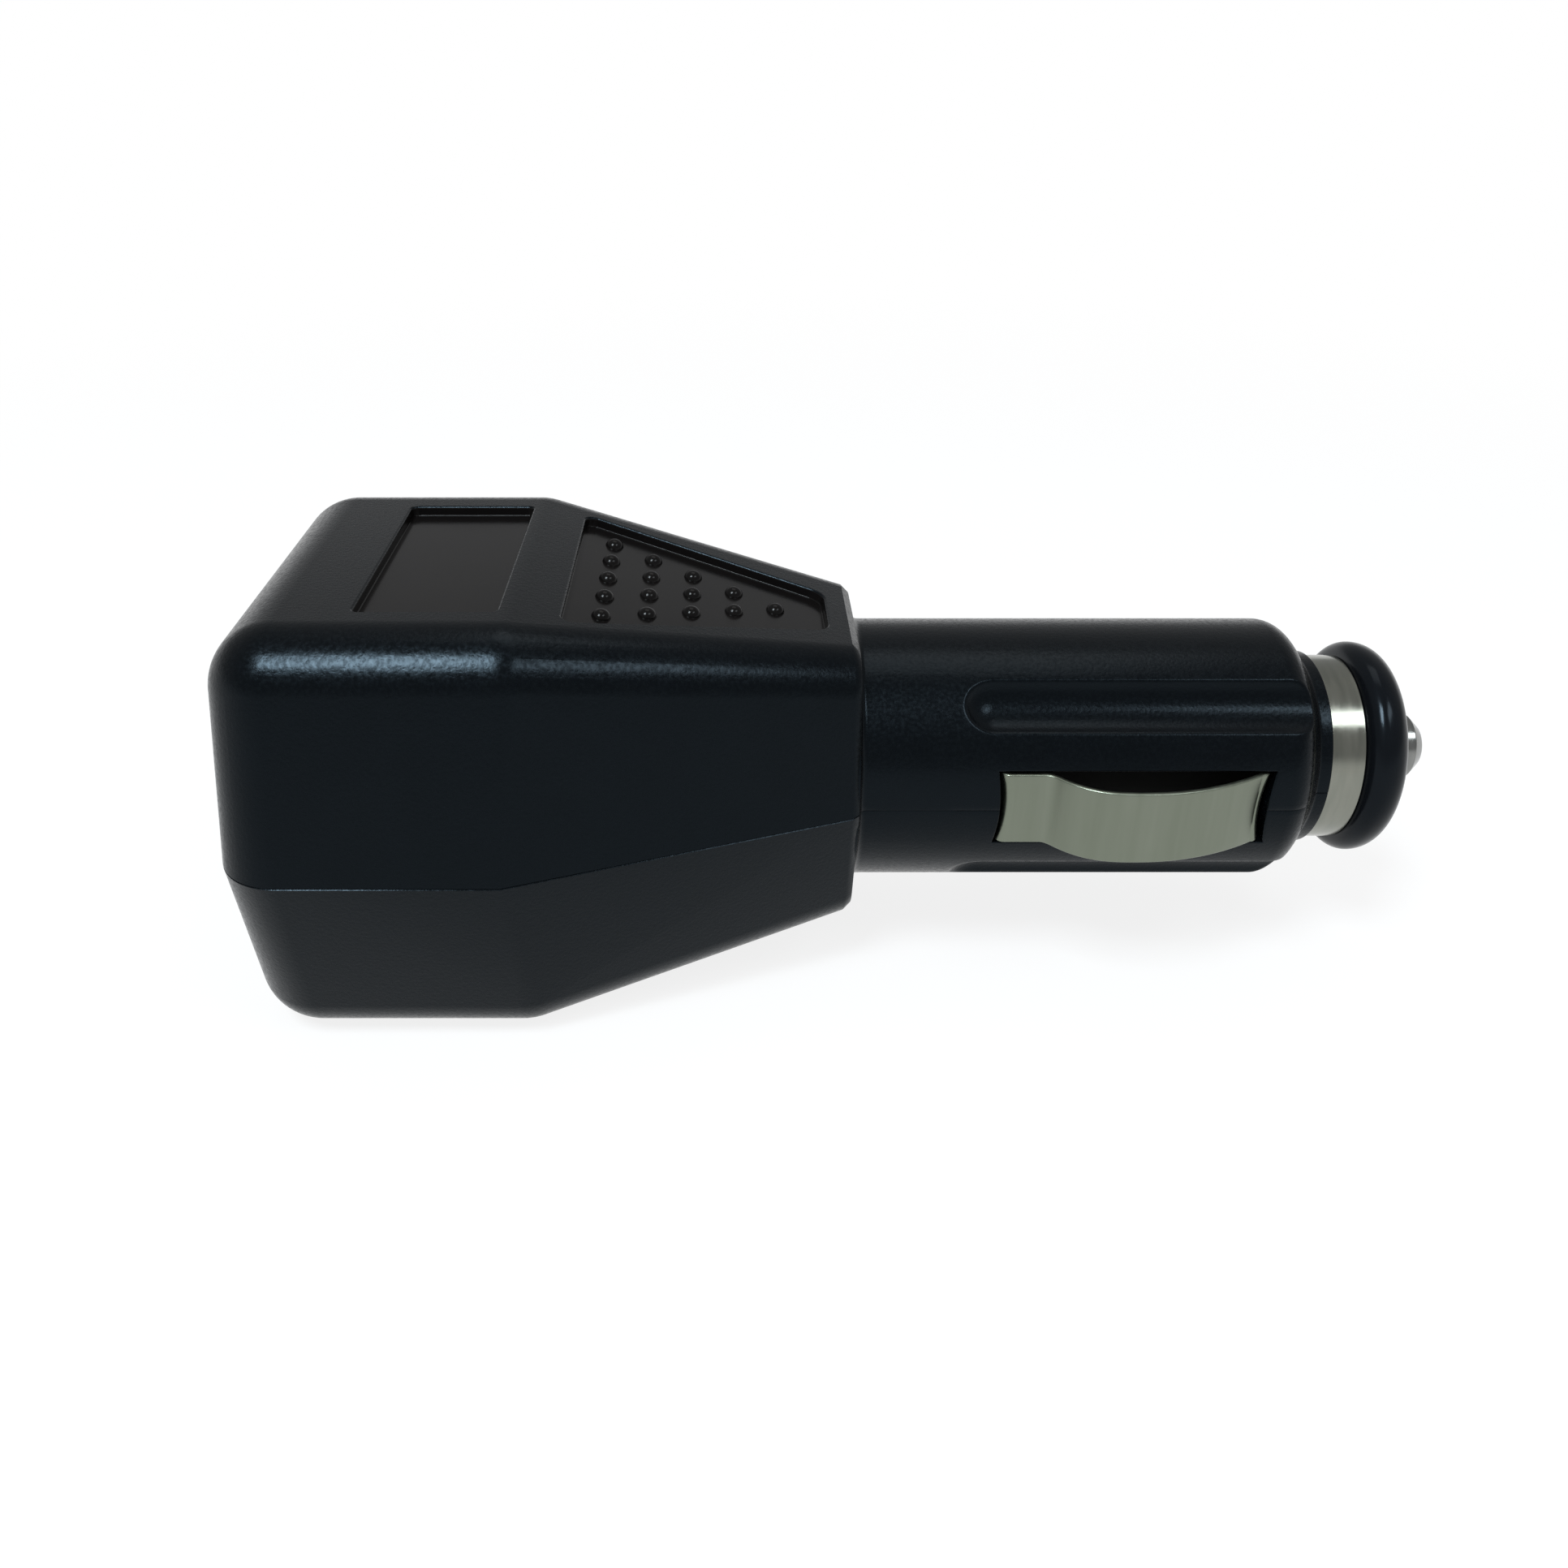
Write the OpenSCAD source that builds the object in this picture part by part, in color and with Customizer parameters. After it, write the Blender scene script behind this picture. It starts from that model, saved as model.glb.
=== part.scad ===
// Twelve-volt car socket plug with a USB charging port.
// The origin is on the barrel's axis, at the head's front face. +X points to the tip, +Z is up.

/* [Head] */
// Length of the head, from its rear face to the barrel
head_len = 46.6; // [44.5:0.1:52]
// Height of the head behind the taper
head_h = 33.6; // [32:0.1:38]
// Width of the head at the parting line
head_w = 42.3; // [40.5:0.1:48]
// Radius of the head's long edges and rear corners
head_edge_r = 5.0; // [3.2:0.1:6]
// Lean of the head's side walls from upright, in degrees
side_lean = 15; // [8:1:18]
// Length of the tapered stretch in front
taper_len = 26.0; // [24.5:0.1:30]
// Height of the head at the barrel
nose_h = 23.5; // [22.8:0.1:26]
// Width of the head at the barrel, at the parting line
nose_w = 23.6; // [23:0.1:27]
// Radius of the long edges at the barrel
nose_edge_r = 4.0; // [3:0.1:4.6]
// Chamfer round the front face
nose_chamfer = 0.6; // [0.3:0.1:1]
// Wall thickness of the head
wall = 2.2; // [1.8:0.1:2.4]
// Depth of the worn groove that the two shells leave where they part
parting_groove = 0.15; // [0.05:0.05:0.3]
// Solid stretch between the head's hollow and the barrel
nose_wall = 4.0; // [3.6:0.1:5]

/* [Grip and badge recesses] */
// Depth of both recesses
recess_depth = 0.8; // [0.4:0.1:1]
// Gap between the badge recess and the rear face
badge_inset = 10.1; // [8:0.1:12]
// Length of the badge recess along the head
badge_len = 10.2; // [6:0.1:10.6]
// Width of the badge recess across the head
badge_w = 22.4; // [16:0.1:24]
// Corner radius of the badge recess
badge_corner_r = 0.5; // [0.2:0.1:2]
// Distance along the slope from the front face to the wide end of the grip recess
grip_rear = 22.3; // [21.6:0.1:23]
// Distance along the slope from the front face to the narrow end of the grip recess
grip_front = 2.3; // [2:0.1:3]
// Width of the grip recess at its wide end
grip_rear_w = 21.8; // [20.5:0.1:22.4]
// Width of the grip recess at its narrow end
grip_front_w = 8.4; // [7:0.1:9]
// Corner radius at the wide end of the grip recess
grip_rear_r = 0.8; // [0.4:0.1:1.5]
// Corner radius at the narrow end of the grip recess
grip_front_r = 1.8; // [1:0.1:2.5]
// Number of bumps in the first row, one fewer in each row after it
bump_rows = 5; // [3:1:5]
// Distance along the slope from the front face to the first row of bumps
bump_first = 19.55; // [19:0.05:19.8]
// Distance between rows, along the slope
bump_step = 3.33; // [3:0.01:3.45]
// Distance between bumps of a row
bump_pitch = 3.67; // [3.2:0.01:4]
// Width of a bump at the recess floor
bump_d = 1.5; // [1:0.1:1.8]
// Height of a bump above the recess floor
bump_h = 0.6; // [0.4:0.05:0.7]

/* [Barrel] */
// Diameter of the barrel
barrel_d = 21.0; // [20.8:0.1:21.4]
// Length of the barrel, from the head to the metal ring
barrel_len = 36.9; // [36.4:0.1:39]
// Length of the barrel's front end, with its shoulder and the short neck in front of it
barrel_nose_len = 4.0; // [3.6:0.1:5]
// Radius of the shoulder's rounded corner
shoulder_r = 2.3; // [1:0.1:2.6]
// Slope of the shoulder, in degrees from the barrel's axis
shoulder_angle = 58; // [45:1:70]
// How far the neck stands out past the metal ring
front_lip = 0.35; // [0.2:0.05:0.6]
// Radius of the hollow fillet where the barrel meets the head
root_fillet = 0.8; // [0.4:0.1:1]
// Wall thickness of the barrel
barrel_wall = 2.5; // [2.4:0.05:2.7]
// Radius of the cutter that makes a flute
flute_cutter_r = 3.2; // [2.5:0.1:4]
// Depth of a flute
flute_depth = 1.0; // [0.6:0.1:1.1]
// Distance from the head to a flute's round end
flute_start = 8.0; // [6:0.1:12]

/* [Side contacts] */
// Width of a side contact
contact_w = 6.0; // [5:0.1:6.4]
// Thickness of the contact strip
contact_t = 0.45; // [0.3:0.05:0.6]
// Where a side contact starts, from the head
contact_start = 10.7; // [10.2:0.1:12]
// Where the strip starts to bow out
bow_start = 14.6; // [13:0.1:15.5]
// Where the bow is highest
bow_crest = 21.0; // [19:0.1:22]
// Where a side contact ends
contact_end = 31.2; // [30:0.1:31.4]
// How far the strip's flat end lies below the barrel's surface
contact_sink = 0.2; // [0.1:0.05:0.4]
// Height of the bow's crest above the strip's flat end
bow_height = 2.9; // [2.2:0.1:3.2]
// How far the strip's front end lies below its flat end
tip_drop = 0.5; // [0.2:0.1:0.8]
// Clearance round a side contact in its slot
slot_gap = 0.15; // [0.1:0.05:0.3]
// How far a side contact gives when it is pushed in
contact_travel = 2.4; // [1.5:0.1:2.4]
// Depth of the flat seat in the bore for the contact's plate
seat_cut = 0.2; // [0.1:0.05:0.3]
// How far the inner plate reaches past the strip on each side
plate_lap = 1.2; // [0.8:0.1:1.3]
// Thickness of the inner plate
plate_t = 0.4; // [0.3:0.05:0.5]

/* [Tip] */
// How far the metal ring stands in from the barrel's surface
ring_step = 3.0; // [2.9:0.05:3.1]
// Wall thickness of the metal ring
ring_wall = 1.0; // [0.9:0.05:1.1]
// Visible length of the metal ring
ring_len = 2.8; // [2.4:0.1:3.6]
// Height of the ring's captured flange
ring_flange_h = 0.9; // [0.7:0.05:0.95]
// Thickness of the ring's captured flange
ring_flange_t = 1.2; // [0.8:0.1:1.3]
// How far the black collar's rim stands in from the barrel's surface
collar_step = 1.9; // [1.5:0.1:2.2]
// Radius of the collar's rounded edge, in front of its rim
collar_edge_r = 2.1; // [1.8:0.1:2.2]
// Radius of the collar's rounded edge, behind its rim
collar_rear_r = 1.3; // [1:0.1:1.4]
// Diameter of the collar's flat face round the pin
collar_face_d = 6.8; // [6:0.1:8]
// Length of the black collar in front of the ring
collar_len = 3.7; // [3.6:0.1:4.4]
// Bore of the collar's sleeve, as a share of the metal ring's bore
collar_bore_share = 0.677; // [0.66:0.001:0.7]
// Diameter of the centre pin, as a share of the collar's bore
pin_share = 0.6; // [0.5:0.001:0.64]
// Diameter of the pin's flat end, as a share of the pin's own
pin_end_share = 0.66; // [0.55:0.001:0.8]
// Length of the pin in front of the collar
pin_out = 3.4; // [3:0.1:5]
// Length of the pin's tapered end
pin_taper = 0.9; // [0.7:0.1:2.6]
// Clearance round the pin's flange
pin_flange_gap = 0.2; // [0.15:0.05:0.4]
// Thickness of the pin's flange
pin_flange_t = 1.2; // [0.8:0.1:1.3]
// How far the pin gives when it is pushed in
pin_travel = 2.0; // [1:0.1:2]

/* [Fuse and spring] */
// Length of the fuse
fuse_len = 30.0; // [28:0.5:30.5]
// Diameter of the fuse's metal caps
fuse_cap_d = 6.3; // [5.6:0.1:6.4]
// Length of a fuse cap
fuse_cap_len = 6.0; // [5:0.1:7]
// Diameter of the fuse's glass tube
fuse_glass_d = 6.0; // [5.4:0.1:6.1]
// Bore of the glass tube
fuse_glass_bore_d = 4.4; // [4:0.1:4.6]
// Thickness of the wire in the fuse
fuse_wire_d = 0.5; // [0.3:0.1:0.8]
// Wire thickness of the fuse spring
spring_wire_d = 0.7; // [0.5:0.05:0.7]
// Mean diameter of the fuse spring
spring_d = 5.0; // [4.6:0.1:5.2]
// Number of turns of the fuse spring
spring_turns = 5.5; // [4:0.5:6]
// Bore of the guide that the fuse slides in
guide_bore_d = 6.7; // [6.6:0.1:6.9]
// Wall of that guide
guide_wall = 1.2; // [0.9:0.1:1.4]
// Length of that guide inside the barrel
guide_len = 8.0; // [6:0.1:8.4]

/* [Charging port] */
// Outer width of the port's metal shell
port_w = 13.1; // [12.9:0.1:13.4]
// Outer height of the port's metal shell
port_h = 5.7; // [5.6:0.1:6]
// Length of the port's metal shell
port_len = 14.0; // [13:0.1:16]
// Sheet thickness of the port's metal shell
port_sheet = 0.3; // [0.25:0.05:0.35]
// How far the port sits in from the rear face
port_inset = 0.3; // [0.1:0.1:0.6]
// Width of the plastic tongue
tongue_w = 11.1; // [10.6:0.1:11.4]
// Thickness of the plastic tongue
tongue_t = 1.8; // [1.6:0.1:1.9]
// Height of the tongue's underside above the port's centre
tongue_z = 0.1; // [0:0.05:0.2]
// How far the tongue stops short of the port's mouth
tongue_back = 1.0; // [0.6:0.1:2]
// Thickness of the tongue's block at the back of the port
tongue_block = 2.4; // [2:0.1:3]
// Width of a port contact
port_pin_w = 1.0; // [0.8:0.1:1.2]
// Thickness of a port contact
port_pin_t = 0.2; // [0.15:0.05:0.25]
// Length of a port contact along the tongue
port_pin_len = 8.0; // [6:0.1:9]

/* [Circuit] */
// Thickness of the circuit board
board_t = 1.6; // [1.2:0.1:1.7]
// Width of the circuit board in the wide part of the head
board_w = 25.0; // [22:0.1:26]
// Width of the circuit board at the barrel
board_front_w = 17.6; // [16.4:0.1:18]
// Where the circuit board starts to narrow, from the front face
board_taper = 20.0; // [16:0.1:22]
// Gap between the circuit board and the head's walls at its ends
board_gap = 0.3; // [0.2:0.1:0.5]
// Thickness of the ground straps
strap_t = 0.4; // [0.3:0.05:0.5]
// Share of the board's free length that the coil's ferrite drum takes
coil_share = 0.32; // [0.26:0.01:0.34]
// Height of the coil's ferrite drum
coil_h = 6.5; // [5:0.1:8]
// Diameter of the capacitors
cap_d = 6.3; // [5:0.1:6.3]
// Height of the input capacitor
input_cap_h = 9.0; // [7:0.1:10]
// Height of the output capacitor
output_cap_h = 7.7; // [5:0.1:10]
// Length of the regulator chip
chip_len = 4.9; // [4:0.1:5]
// Width of the regulator chip without its legs
chip_w = 3.9; // [3.5:0.1:4]
// Height of the regulator chip
chip_h = 1.6; // [1.4:0.1:2]

/* [Hidden] */

// Clearance of a close fit, of a running fit, and a cut's overrun
touch = 0.05;
fit = 0.1;
eps = 0.01;
smooth = 96;
hull_fn = 32;

// Sizes that follow the barrel's diameter
barrel_r = barrel_d / 2;
barrel_bore_d = barrel_d - 2 * barrel_wall;
ring_d = barrel_d - 2 * ring_step;
ring_bore_d = ring_d - 2 * ring_wall;
ring_flange_d = ring_d + 2 * ring_flange_h;
barrel_front_d = ring_d + 2 * front_lip;
collar_d = barrel_d - 2 * collar_step;
collar_bore_d = collar_bore_share * ring_bore_d;
pin_flange_d = collar_bore_d - 2 * pin_flange_gap;
pin_d = pin_share * collar_bore_d;
pin_end_d = pin_end_share * pin_d;
contact_flat_y = barrel_r - contact_sink;
seat_y = barrel_bore_d / 2 + seat_cut;

// Places along the barrel
ring_cover = 2.9;
bulkhead_t = 1.1;
plate_lead = 1.0;
pocket_gap = 0.2;
slot_lead = 0.4;
wiper_lap = 0.2;
ring_front = barrel_len + ring_len;
groove_front = barrel_len - ring_cover;
groove_rear = groove_front - ring_flange_t - 2 * fit;
ring_rear = groove_rear + fit;
bulkhead_rear = groove_rear - bulkhead_t;
flange_rear = groove_rear + fit + pin_travel;
flange_front = flange_rear + pin_flange_t;
collar_front = ring_front + collar_len;
pin_front = collar_front + pin_out;
fuse_front = flange_rear;
fuse_rear = fuse_front - fuse_len;
cap_end_t = 0.8;
seat_front = -2.4;
seat_t = 0.5;
seat_half = 4.2;
seat_tail_w = 3.0;
seat_tail_reach = 2.2;
plate_half_w = contact_w / 2 + plate_lap;
plate_rear = contact_start - plate_lead;
plate_front = bulkhead_rear - fit;
slot_rear = contact_start - slot_gap;
slot_front = contact_end + slot_lead;
slot_half_w = contact_w / 2 + slot_gap;
pocket_rear = plate_rear - strap_t - fit;
pocket_half_w = plate_half_w + pocket_gap;

// Places in the head
taper_angle = atan((head_h - nose_h) / 2 / taper_len);
port_rear = -head_len + port_inset;
port_front = port_rear + port_len;
board_top = -port_h / 2;
board_bottom = board_top - board_t;
board_rear = -head_len + wall + board_gap;
board_front = -nose_wall - board_gap;
strap_in = 1.0;
strap_foot = 3.7;
strap_h = 4.4;
strap_y = barrel_bore_d / 2 - strap_in;
strap_rear = board_front - strap_foot;

// Pegs that join the shells, and posts that carry the board and the port
peg_r = 1.0;
peg_len = 3.5;
peg_room = 0.5;
peg_side_gap = 2.9;
boss_r = 1.9;
post_r = 1.6;
post_in = 1.8;
post_lead = 3.0;
post_setback = 6.7;
port_post_in = 3.0;
peg_step = 4.0;
peg_y = board_w / 2 + peg_side_gap;
post_rear = board_rear + post_lead;
post_rear_y = board_w / 2 - post_in;
post_front = board_front - post_setback;
post_front_y = board_front_w / 2 - post_in;
peg_rear = post_rear + peg_step;
peg_front = -taper_len + peg_r;

// Parts on the board, placed by shares of its free length in front of the port
part_gap = 0.4;
lift = 0.1;
leg_out = 1.0;
leg_w = 0.4;
leg_t = 0.3;
coil_gap_share = 0.135;
input_cap_share = 0.686;
chip_share = 0.67;
resistor_share = 0.54;
control_len = 2.9;
control_w = 1.6;
control_h = 1.1;
control_in = 3.4;
diode_size = [4.3, 2.6, 2.2];
diode_lead = [5.2, 1.4, 0.2];
resistor_size = [2.0, 1.2, 0.5];
resistor_in = 2.5;
cap_groove_r = 0.5;
cap_groove_z = 1.6;
cap_groove_out = 0.2;
winding_in = 0.4;
room = board_front - port_front;
cap_r = cap_d / 2;
coil_d = coil_share * room;
coil_x = port_front + coil_gap_share * room + coil_d / 2;

// Centre of the head's edge arc: its height, and its distance from the middle
function arc_z(half_h, r) = half_h - r;
function arc_y(half_w, half_h, r) = half_w - arc_z(half_h, r) * tan(side_lean) - r / cos(side_lean);

// Rounded upper corners of the head, drawn in by inset
module head_corners(inset) {
    nose_r = nose_edge_r - inset;
    big_y = arc_y(head_w / 2, head_h / 2, head_edge_r);
    nose_y = arc_y(nose_w / 2, nose_h / 2, nose_edge_r);
    for (side = [-1, 1]) {
        for (x = [-head_len + head_edge_r, -taper_len]) {
            translate([x, side * big_y, arc_z(head_h / 2, head_edge_r)]) {
                sphere(r = head_edge_r - inset, $fn = hull_fn);
                cylinder(r = eps, h = head_edge_r - inset, $fn = 16);
            }
        }
        translate([0, side * nose_y, arc_z(nose_h / 2, nose_edge_r)])
            rotate([0, 90, 0]) {
                translate([0, 0, -nose_chamfer - eps])
                    cylinder(r = nose_r, h = eps, $fn = hull_fn);
                translate([0, 0, -eps])
                    cylinder(r = nose_r - nose_chamfer, h = eps, $fn = hull_fn);
            }
    }
}

// Outline of the head at the parting line, drawn in by inset, at height low
module head_rim(inset, low) {
    drawn_in = inset / cos(side_lean);
    rear_r = head_edge_r - inset;
    for (side = [-1, 1]) {
        translate([-head_len + head_edge_r, side * (head_w / 2 - drawn_in - rear_r), low])
            cylinder(r = rear_r, h = eps, $fn = hull_fn);
        translate([-taper_len, side * (head_w / 2 - drawn_in - eps), low])
            cylinder(r = eps, h = eps, $fn = 16);
        translate([-nose_chamfer - eps, side * (nose_w / 2 - drawn_in - eps), low])
            cylinder(r = eps, h = eps, $fn = 16);
        translate([-eps, side * (nose_w / 2 - drawn_in - nose_chamfer), low])
            cylinder(r = eps, h = eps, $fn = 16);
    }
}

// Upper half of the head as a solid block, with half of the parting groove at its lower edge
module head_block() {
    hull() {
        head_corners(0);
        head_rim(0, parting_groove);
        head_rim(parting_groove, 0);
    }
}

// Upper half of the head's hollow
module head_hollow() {
    intersection() {
        hull() {
            head_corners(wall);
            head_rim(wall, -eps);
        }
        translate([-head_len, -head_w / 2, -1])
            cube([head_len - nose_wall, head_w, head_h]);
    }
}

// Puts something on the tapered face: z = 0 is the face, and x = 0 its front end
module on_taper() {
    translate([0, 0, nose_h / 2])
        rotate([0, taper_angle, 0])
            children();
}

// Plan of the grip recess
module grip_plan() {
    hull() {
        for (side = [-1, 1]) {
            translate([-grip_rear + grip_rear_r, side * (grip_rear_w / 2 - grip_rear_r)])
                circle(r = grip_rear_r, $fn = hull_fn);
            translate([-grip_front - grip_front_r, side * (grip_front_w / 2 - grip_front_r)])
                circle(r = grip_front_r, $fn = hull_fn);
        }
    }
}

// Plan of the badge recess
module badge_plan() {
    hull() {
        for (side = [-1, 1]) {
            for (x = [badge_corner_r, badge_len - badge_corner_r]) {
                translate([-head_len + badge_inset + x, side * (badge_w / 2 - badge_corner_r)])
                    circle(r = badge_corner_r, $fn = hull_fn);
            }
        }
    }
}

// The bumps, as balls sunk into the floor of the grip recess
module bumps() {
    ball_r = (bump_d * bump_d / 4 + bump_h * bump_h) / (2 * bump_h);
    for (row = [0 : bump_rows - 1]) {
        last = bump_rows - 1 - row;
        for (i = [0 : last]) {
            on_taper()
                translate([
                    row * bump_step - bump_first,
                    (i - last / 2) * bump_pitch,
                    bump_h - recess_depth - ball_r
                ])
                    sphere(r = ball_r, $fn = 48);
        }
    }
}

// Half section of the barrel, with its length along Y
module barrel_section() {
    nose_start = barrel_len - barrel_nose_len;
    corner_x = barrel_r - shoulder_r;
    bend_x = corner_x + shoulder_r * cos(shoulder_angle);
    bend_y = nose_start + shoulder_r * sin(shoulder_angle);
    neck_r = barrel_front_d / 2;
    neck_y = bend_y + (bend_x - neck_r) / tan(shoulder_angle);
    translate([0, -1])
        square([barrel_r, nose_start + 1]);
    translate([0, nose_start - eps])
        square([neck_r, barrel_nose_len + eps]);
    intersection() {
        translate([corner_x, nose_start])
            circle(r = shoulder_r, $fn = smooth);
        translate([corner_x, nose_start - eps])
            square([shoulder_r, bend_y - nose_start + eps]);
    }
    polygon([
        [0, nose_start - eps],
        [corner_x, nose_start - eps],
        [bend_x, bend_y],
        [neck_r, neck_y],
        [0, neck_y]
    ]);
    difference() {
        translate([barrel_r - 1, -eps])
            square([root_fillet + 1, root_fillet + eps]);
        translate([barrel_r + root_fillet, root_fillet])
            circle(r = root_fillet, $fn = smooth);
    }
}

// One flute, cut along the barrel at an angle from the contacts' plane
module flute(angle) {
    sunk = flute_cutter_r - flute_depth;
    half_end = sqrt(flute_cutter_r * flute_cutter_r - sunk * sunk);
    rotate([angle, 0, 0])
        translate([flute_start + half_end, barrel_r + sunk, 0]) {
            rotate([0, 90, 0])
                cylinder(r = flute_cutter_r, h = barrel_len, $fn = smooth);
            sphere(r = flute_cutter_r, $fn = smooth);
        }
}

// Upper half of the barrel, before its inside is cut out
module barrel_half() {
    intersection() {
        difference() {
            rotate([0, 90, 0])
                rotate_extrude($fn = smooth)
                    barrel_section();
            for (angle = [45, 135]) {
                flute(angle);
            }
        }
        translate([-2, -barrel_d, 0])
            cube([barrel_len + 4, 2 * barrel_d, barrel_d]);
    }
}

// Round bar along the barrel's axis
module bar(from, to, r) {
    translate([from, 0, 0])
        rotate([0, 90, 0])
            cylinder(r = r, h = to - from, $fn = smooth);
}

// Box given by its low corner and its high corner
module block(low, high) {
    translate(low)
        cube(high - low);
}

// What both shells are cut by: bore, guide, ring groove, contact pockets and slots, strap slots
module barrel_hollow() {
    difference() {
        bar(0, bulkhead_rear, barrel_bore_d / 2);
        bar(-eps, guide_len, guide_bore_d / 2 + guide_wall);
    }
    bar(seat_front - eps, groove_rear + eps, guide_bore_d / 2);
    bar(groove_rear, groove_front, ring_flange_d / 2 + fit);
    bar(groove_front - eps, barrel_len + 1, ring_d / 2 + fit);
    spring_seat_form(touch);
    for (side = [0, 1]) {
        mirror([0, side, 0]) {
            block([pocket_rear, 0, -pocket_half_w], [bulkhead_rear, seat_y, pocket_half_w]);
            block([slot_rear, seat_y - 1, -slot_half_w], [slot_front, barrel_d, slot_half_w]);
            block(
                [-nose_wall - 1, strap_y - strap_t / 2 - touch, board_top - touch],
                [1, strap_y + strap_t / 2 + touch, board_top + strap_h + touch]
            );
        }
    }
}

// Mouth for the charging port, through the rear wall
module port_mouth() {
    half_w = port_w / 2 + touch;
    half_h = port_h / 2 + touch;
    block([-head_len - 1, -half_w, -half_h], [-head_len + wall + 2, half_w, half_h]);
}

// One half shell, upper way round, before the barrel's inside and the port's mouth are cut
module shell_half() {
    difference() {
        head_block();
        head_hollow();
        translate([0, 0, head_h / 2 - recess_depth])
            linear_extrude(height = recess_depth + 1)
                badge_plan();
        on_taper()
            translate([0, 0, -recess_depth])
                linear_extrude(height = recess_depth + 1)
                    grip_plan();
    }
    bumps();
    barrel_half();
}

// Keeps what stands inside the head clear of its outer faces
module inside_head() {
    intersection() {
        children();
        hull() {
            head_corners(wall / 2);
            head_rim(wall / 2, 0);
        }
    }
}

module post(x, y, low, high, r) {
    translate([x, y, low])
        cylinder(r = r, h = high - low, $fn = 48);
}

// Something at each of the four pegs
module at_pegs() {
    for (x = [peg_rear, peg_front]) {
        for (side = [-1, 1]) {
            translate([x, side * peg_y, 0])
                children();
        }
    }
}

// Upper shell, with the pegs and the two posts that hold the port down
module upper_housing() {
    color([0.05, 0.05, 0.07])
        difference() {
            union() {
                shell_half();
                inside_head() {
                    union() {
                        at_pegs()
                            post(0, 0, 0, head_h, boss_r);
                        for (side = [-1, 1]) {
                            post(port_front - port_post_in, side * port_w / 4, port_h / 2, head_h, post_r);
                        }
                    }
                }
                at_pegs()
                    post(0, 0, -peg_len, 1, peg_r);
            }
            barrel_hollow();
            port_mouth();
        }
}

// Lower shell, with the pegs' sockets and the four posts that carry the board
module lower_housing() {
    color([0.05, 0.05, 0.07])
        difference() {
            mirror([0, 0, 1])
                union() {
                    shell_half();
                    inside_head() {
                        union() {
                            at_pegs()
                                post(0, 0, 0, head_h, boss_r);
                            for (side = [-1, 1]) {
                                post(post_rear, side * post_rear_y, -board_bottom, head_h, post_r);
                                post(post_front, side * post_front_y, -board_bottom, head_h, post_r);
                            }
                        }
                    }
                }
            barrel_hollow();
            port_mouth();
            at_pegs()
                post(0, 0, -peg_len - peg_room, 1, peg_r + touch);
        }
}

// Metal ring at the barrel's front, held by a flange in the shells' groove
module retaining_ring() {
    color([0.75, 0.75, 0.72])
        difference() {
            union() {
                bar(ring_rear, ring_front, ring_d / 2);
                bar(ring_rear, ring_rear + ring_flange_t, ring_flange_d / 2);
            }
            bar(ring_rear - 1, ring_front + 1, ring_bore_d / 2);
        }
}

// Half section of the collar's head, with its length along Y from the ring's front face
module collar_section() {
    edge_x = collar_d / 2 - collar_edge_r;
    rear_x = collar_d / 2 - collar_rear_r;
    reach = norm([edge_x - collar_face_d / 2, collar_len - collar_rear_r]);
    lean = atan2(collar_len - collar_rear_r, collar_face_d / 2 - edge_x) - acos(collar_edge_r / reach);
    translate([rear_x, collar_rear_r])
        circle(r = collar_rear_r, $fn = smooth);
    square([rear_x, collar_rear_r + eps]);
    intersection() {
        translate([edge_x, collar_rear_r])
            circle(r = collar_edge_r, $fn = smooth);
        translate([0, collar_rear_r])
            square(collar_d);
    }
    polygon([
        [0, collar_rear_r],
        [edge_x, collar_rear_r],
        [edge_x + collar_edge_r * cos(lean), collar_rear_r + collar_edge_r * sin(lean)],
        [collar_face_d / 2, collar_len],
        [0, collar_len]
    ]);
}

// Black insulating collar, screwed into the ring, with the shoulder that stops the pin
module tip_collar() {
    color([0.03, 0.03, 0.04])
        difference() {
            union() {
                translate([ring_front, 0, 0])
                    rotate([0, 90, 0])
                        rotate_extrude($fn = smooth)
                            collar_section();
                bar(ring_rear, ring_front + 1, ring_bore_d / 2 - touch);
            }
            bar(ring_rear - 1, flange_front, collar_bore_d / 2);
            bar(ring_rear - 1, collar_front + 1, pin_d / 2 + fit);
        }
}

// Centre pin: the positive contact, with a flange inside the collar
module centre_pin() {
    color([0.78, 0.77, 0.74])
        union() {
            bar(flange_rear, flange_front, pin_flange_d / 2);
            bar(flange_rear, pin_front - pin_taper, pin_d / 2);
            translate([pin_front - pin_taper, 0, 0])
                rotate([0, 90, 0])
                    cylinder(r1 = pin_d / 2, r2 = pin_end_d / 2, h = pin_taper, $fn = smooth);
        }
}

// One fuse cap, from its closed end
module fuse_cap() {
    difference() {
        bar(0, fuse_cap_len, fuse_cap_d / 2);
        bar(cap_end_t, fuse_cap_len + 1, fuse_glass_d / 2 + eps);
    }
}

module fuse_front_cap() {
    color([0.8, 0.8, 0.78])
        translate([fuse_front, 0, 0])
            mirror([1, 0, 0])
                fuse_cap();
}

module fuse_rear_cap() {
    color([0.8, 0.8, 0.78])
        translate([fuse_rear, 0, 0])
            fuse_cap();
}

module fuse_glass() {
    color([0.8, 0.9, 0.9, 0.5])
        difference() {
            bar(fuse_rear + cap_end_t, fuse_front - cap_end_t, fuse_glass_d / 2);
            bar(fuse_rear, fuse_front, fuse_glass_bore_d / 2);
        }
}

module fuse_wire() {
    color([0.7, 0.6, 0.4])
        bar(fuse_rear + cap_end_t, fuse_front - cap_end_t, fuse_wire_d / 2);
}

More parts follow.
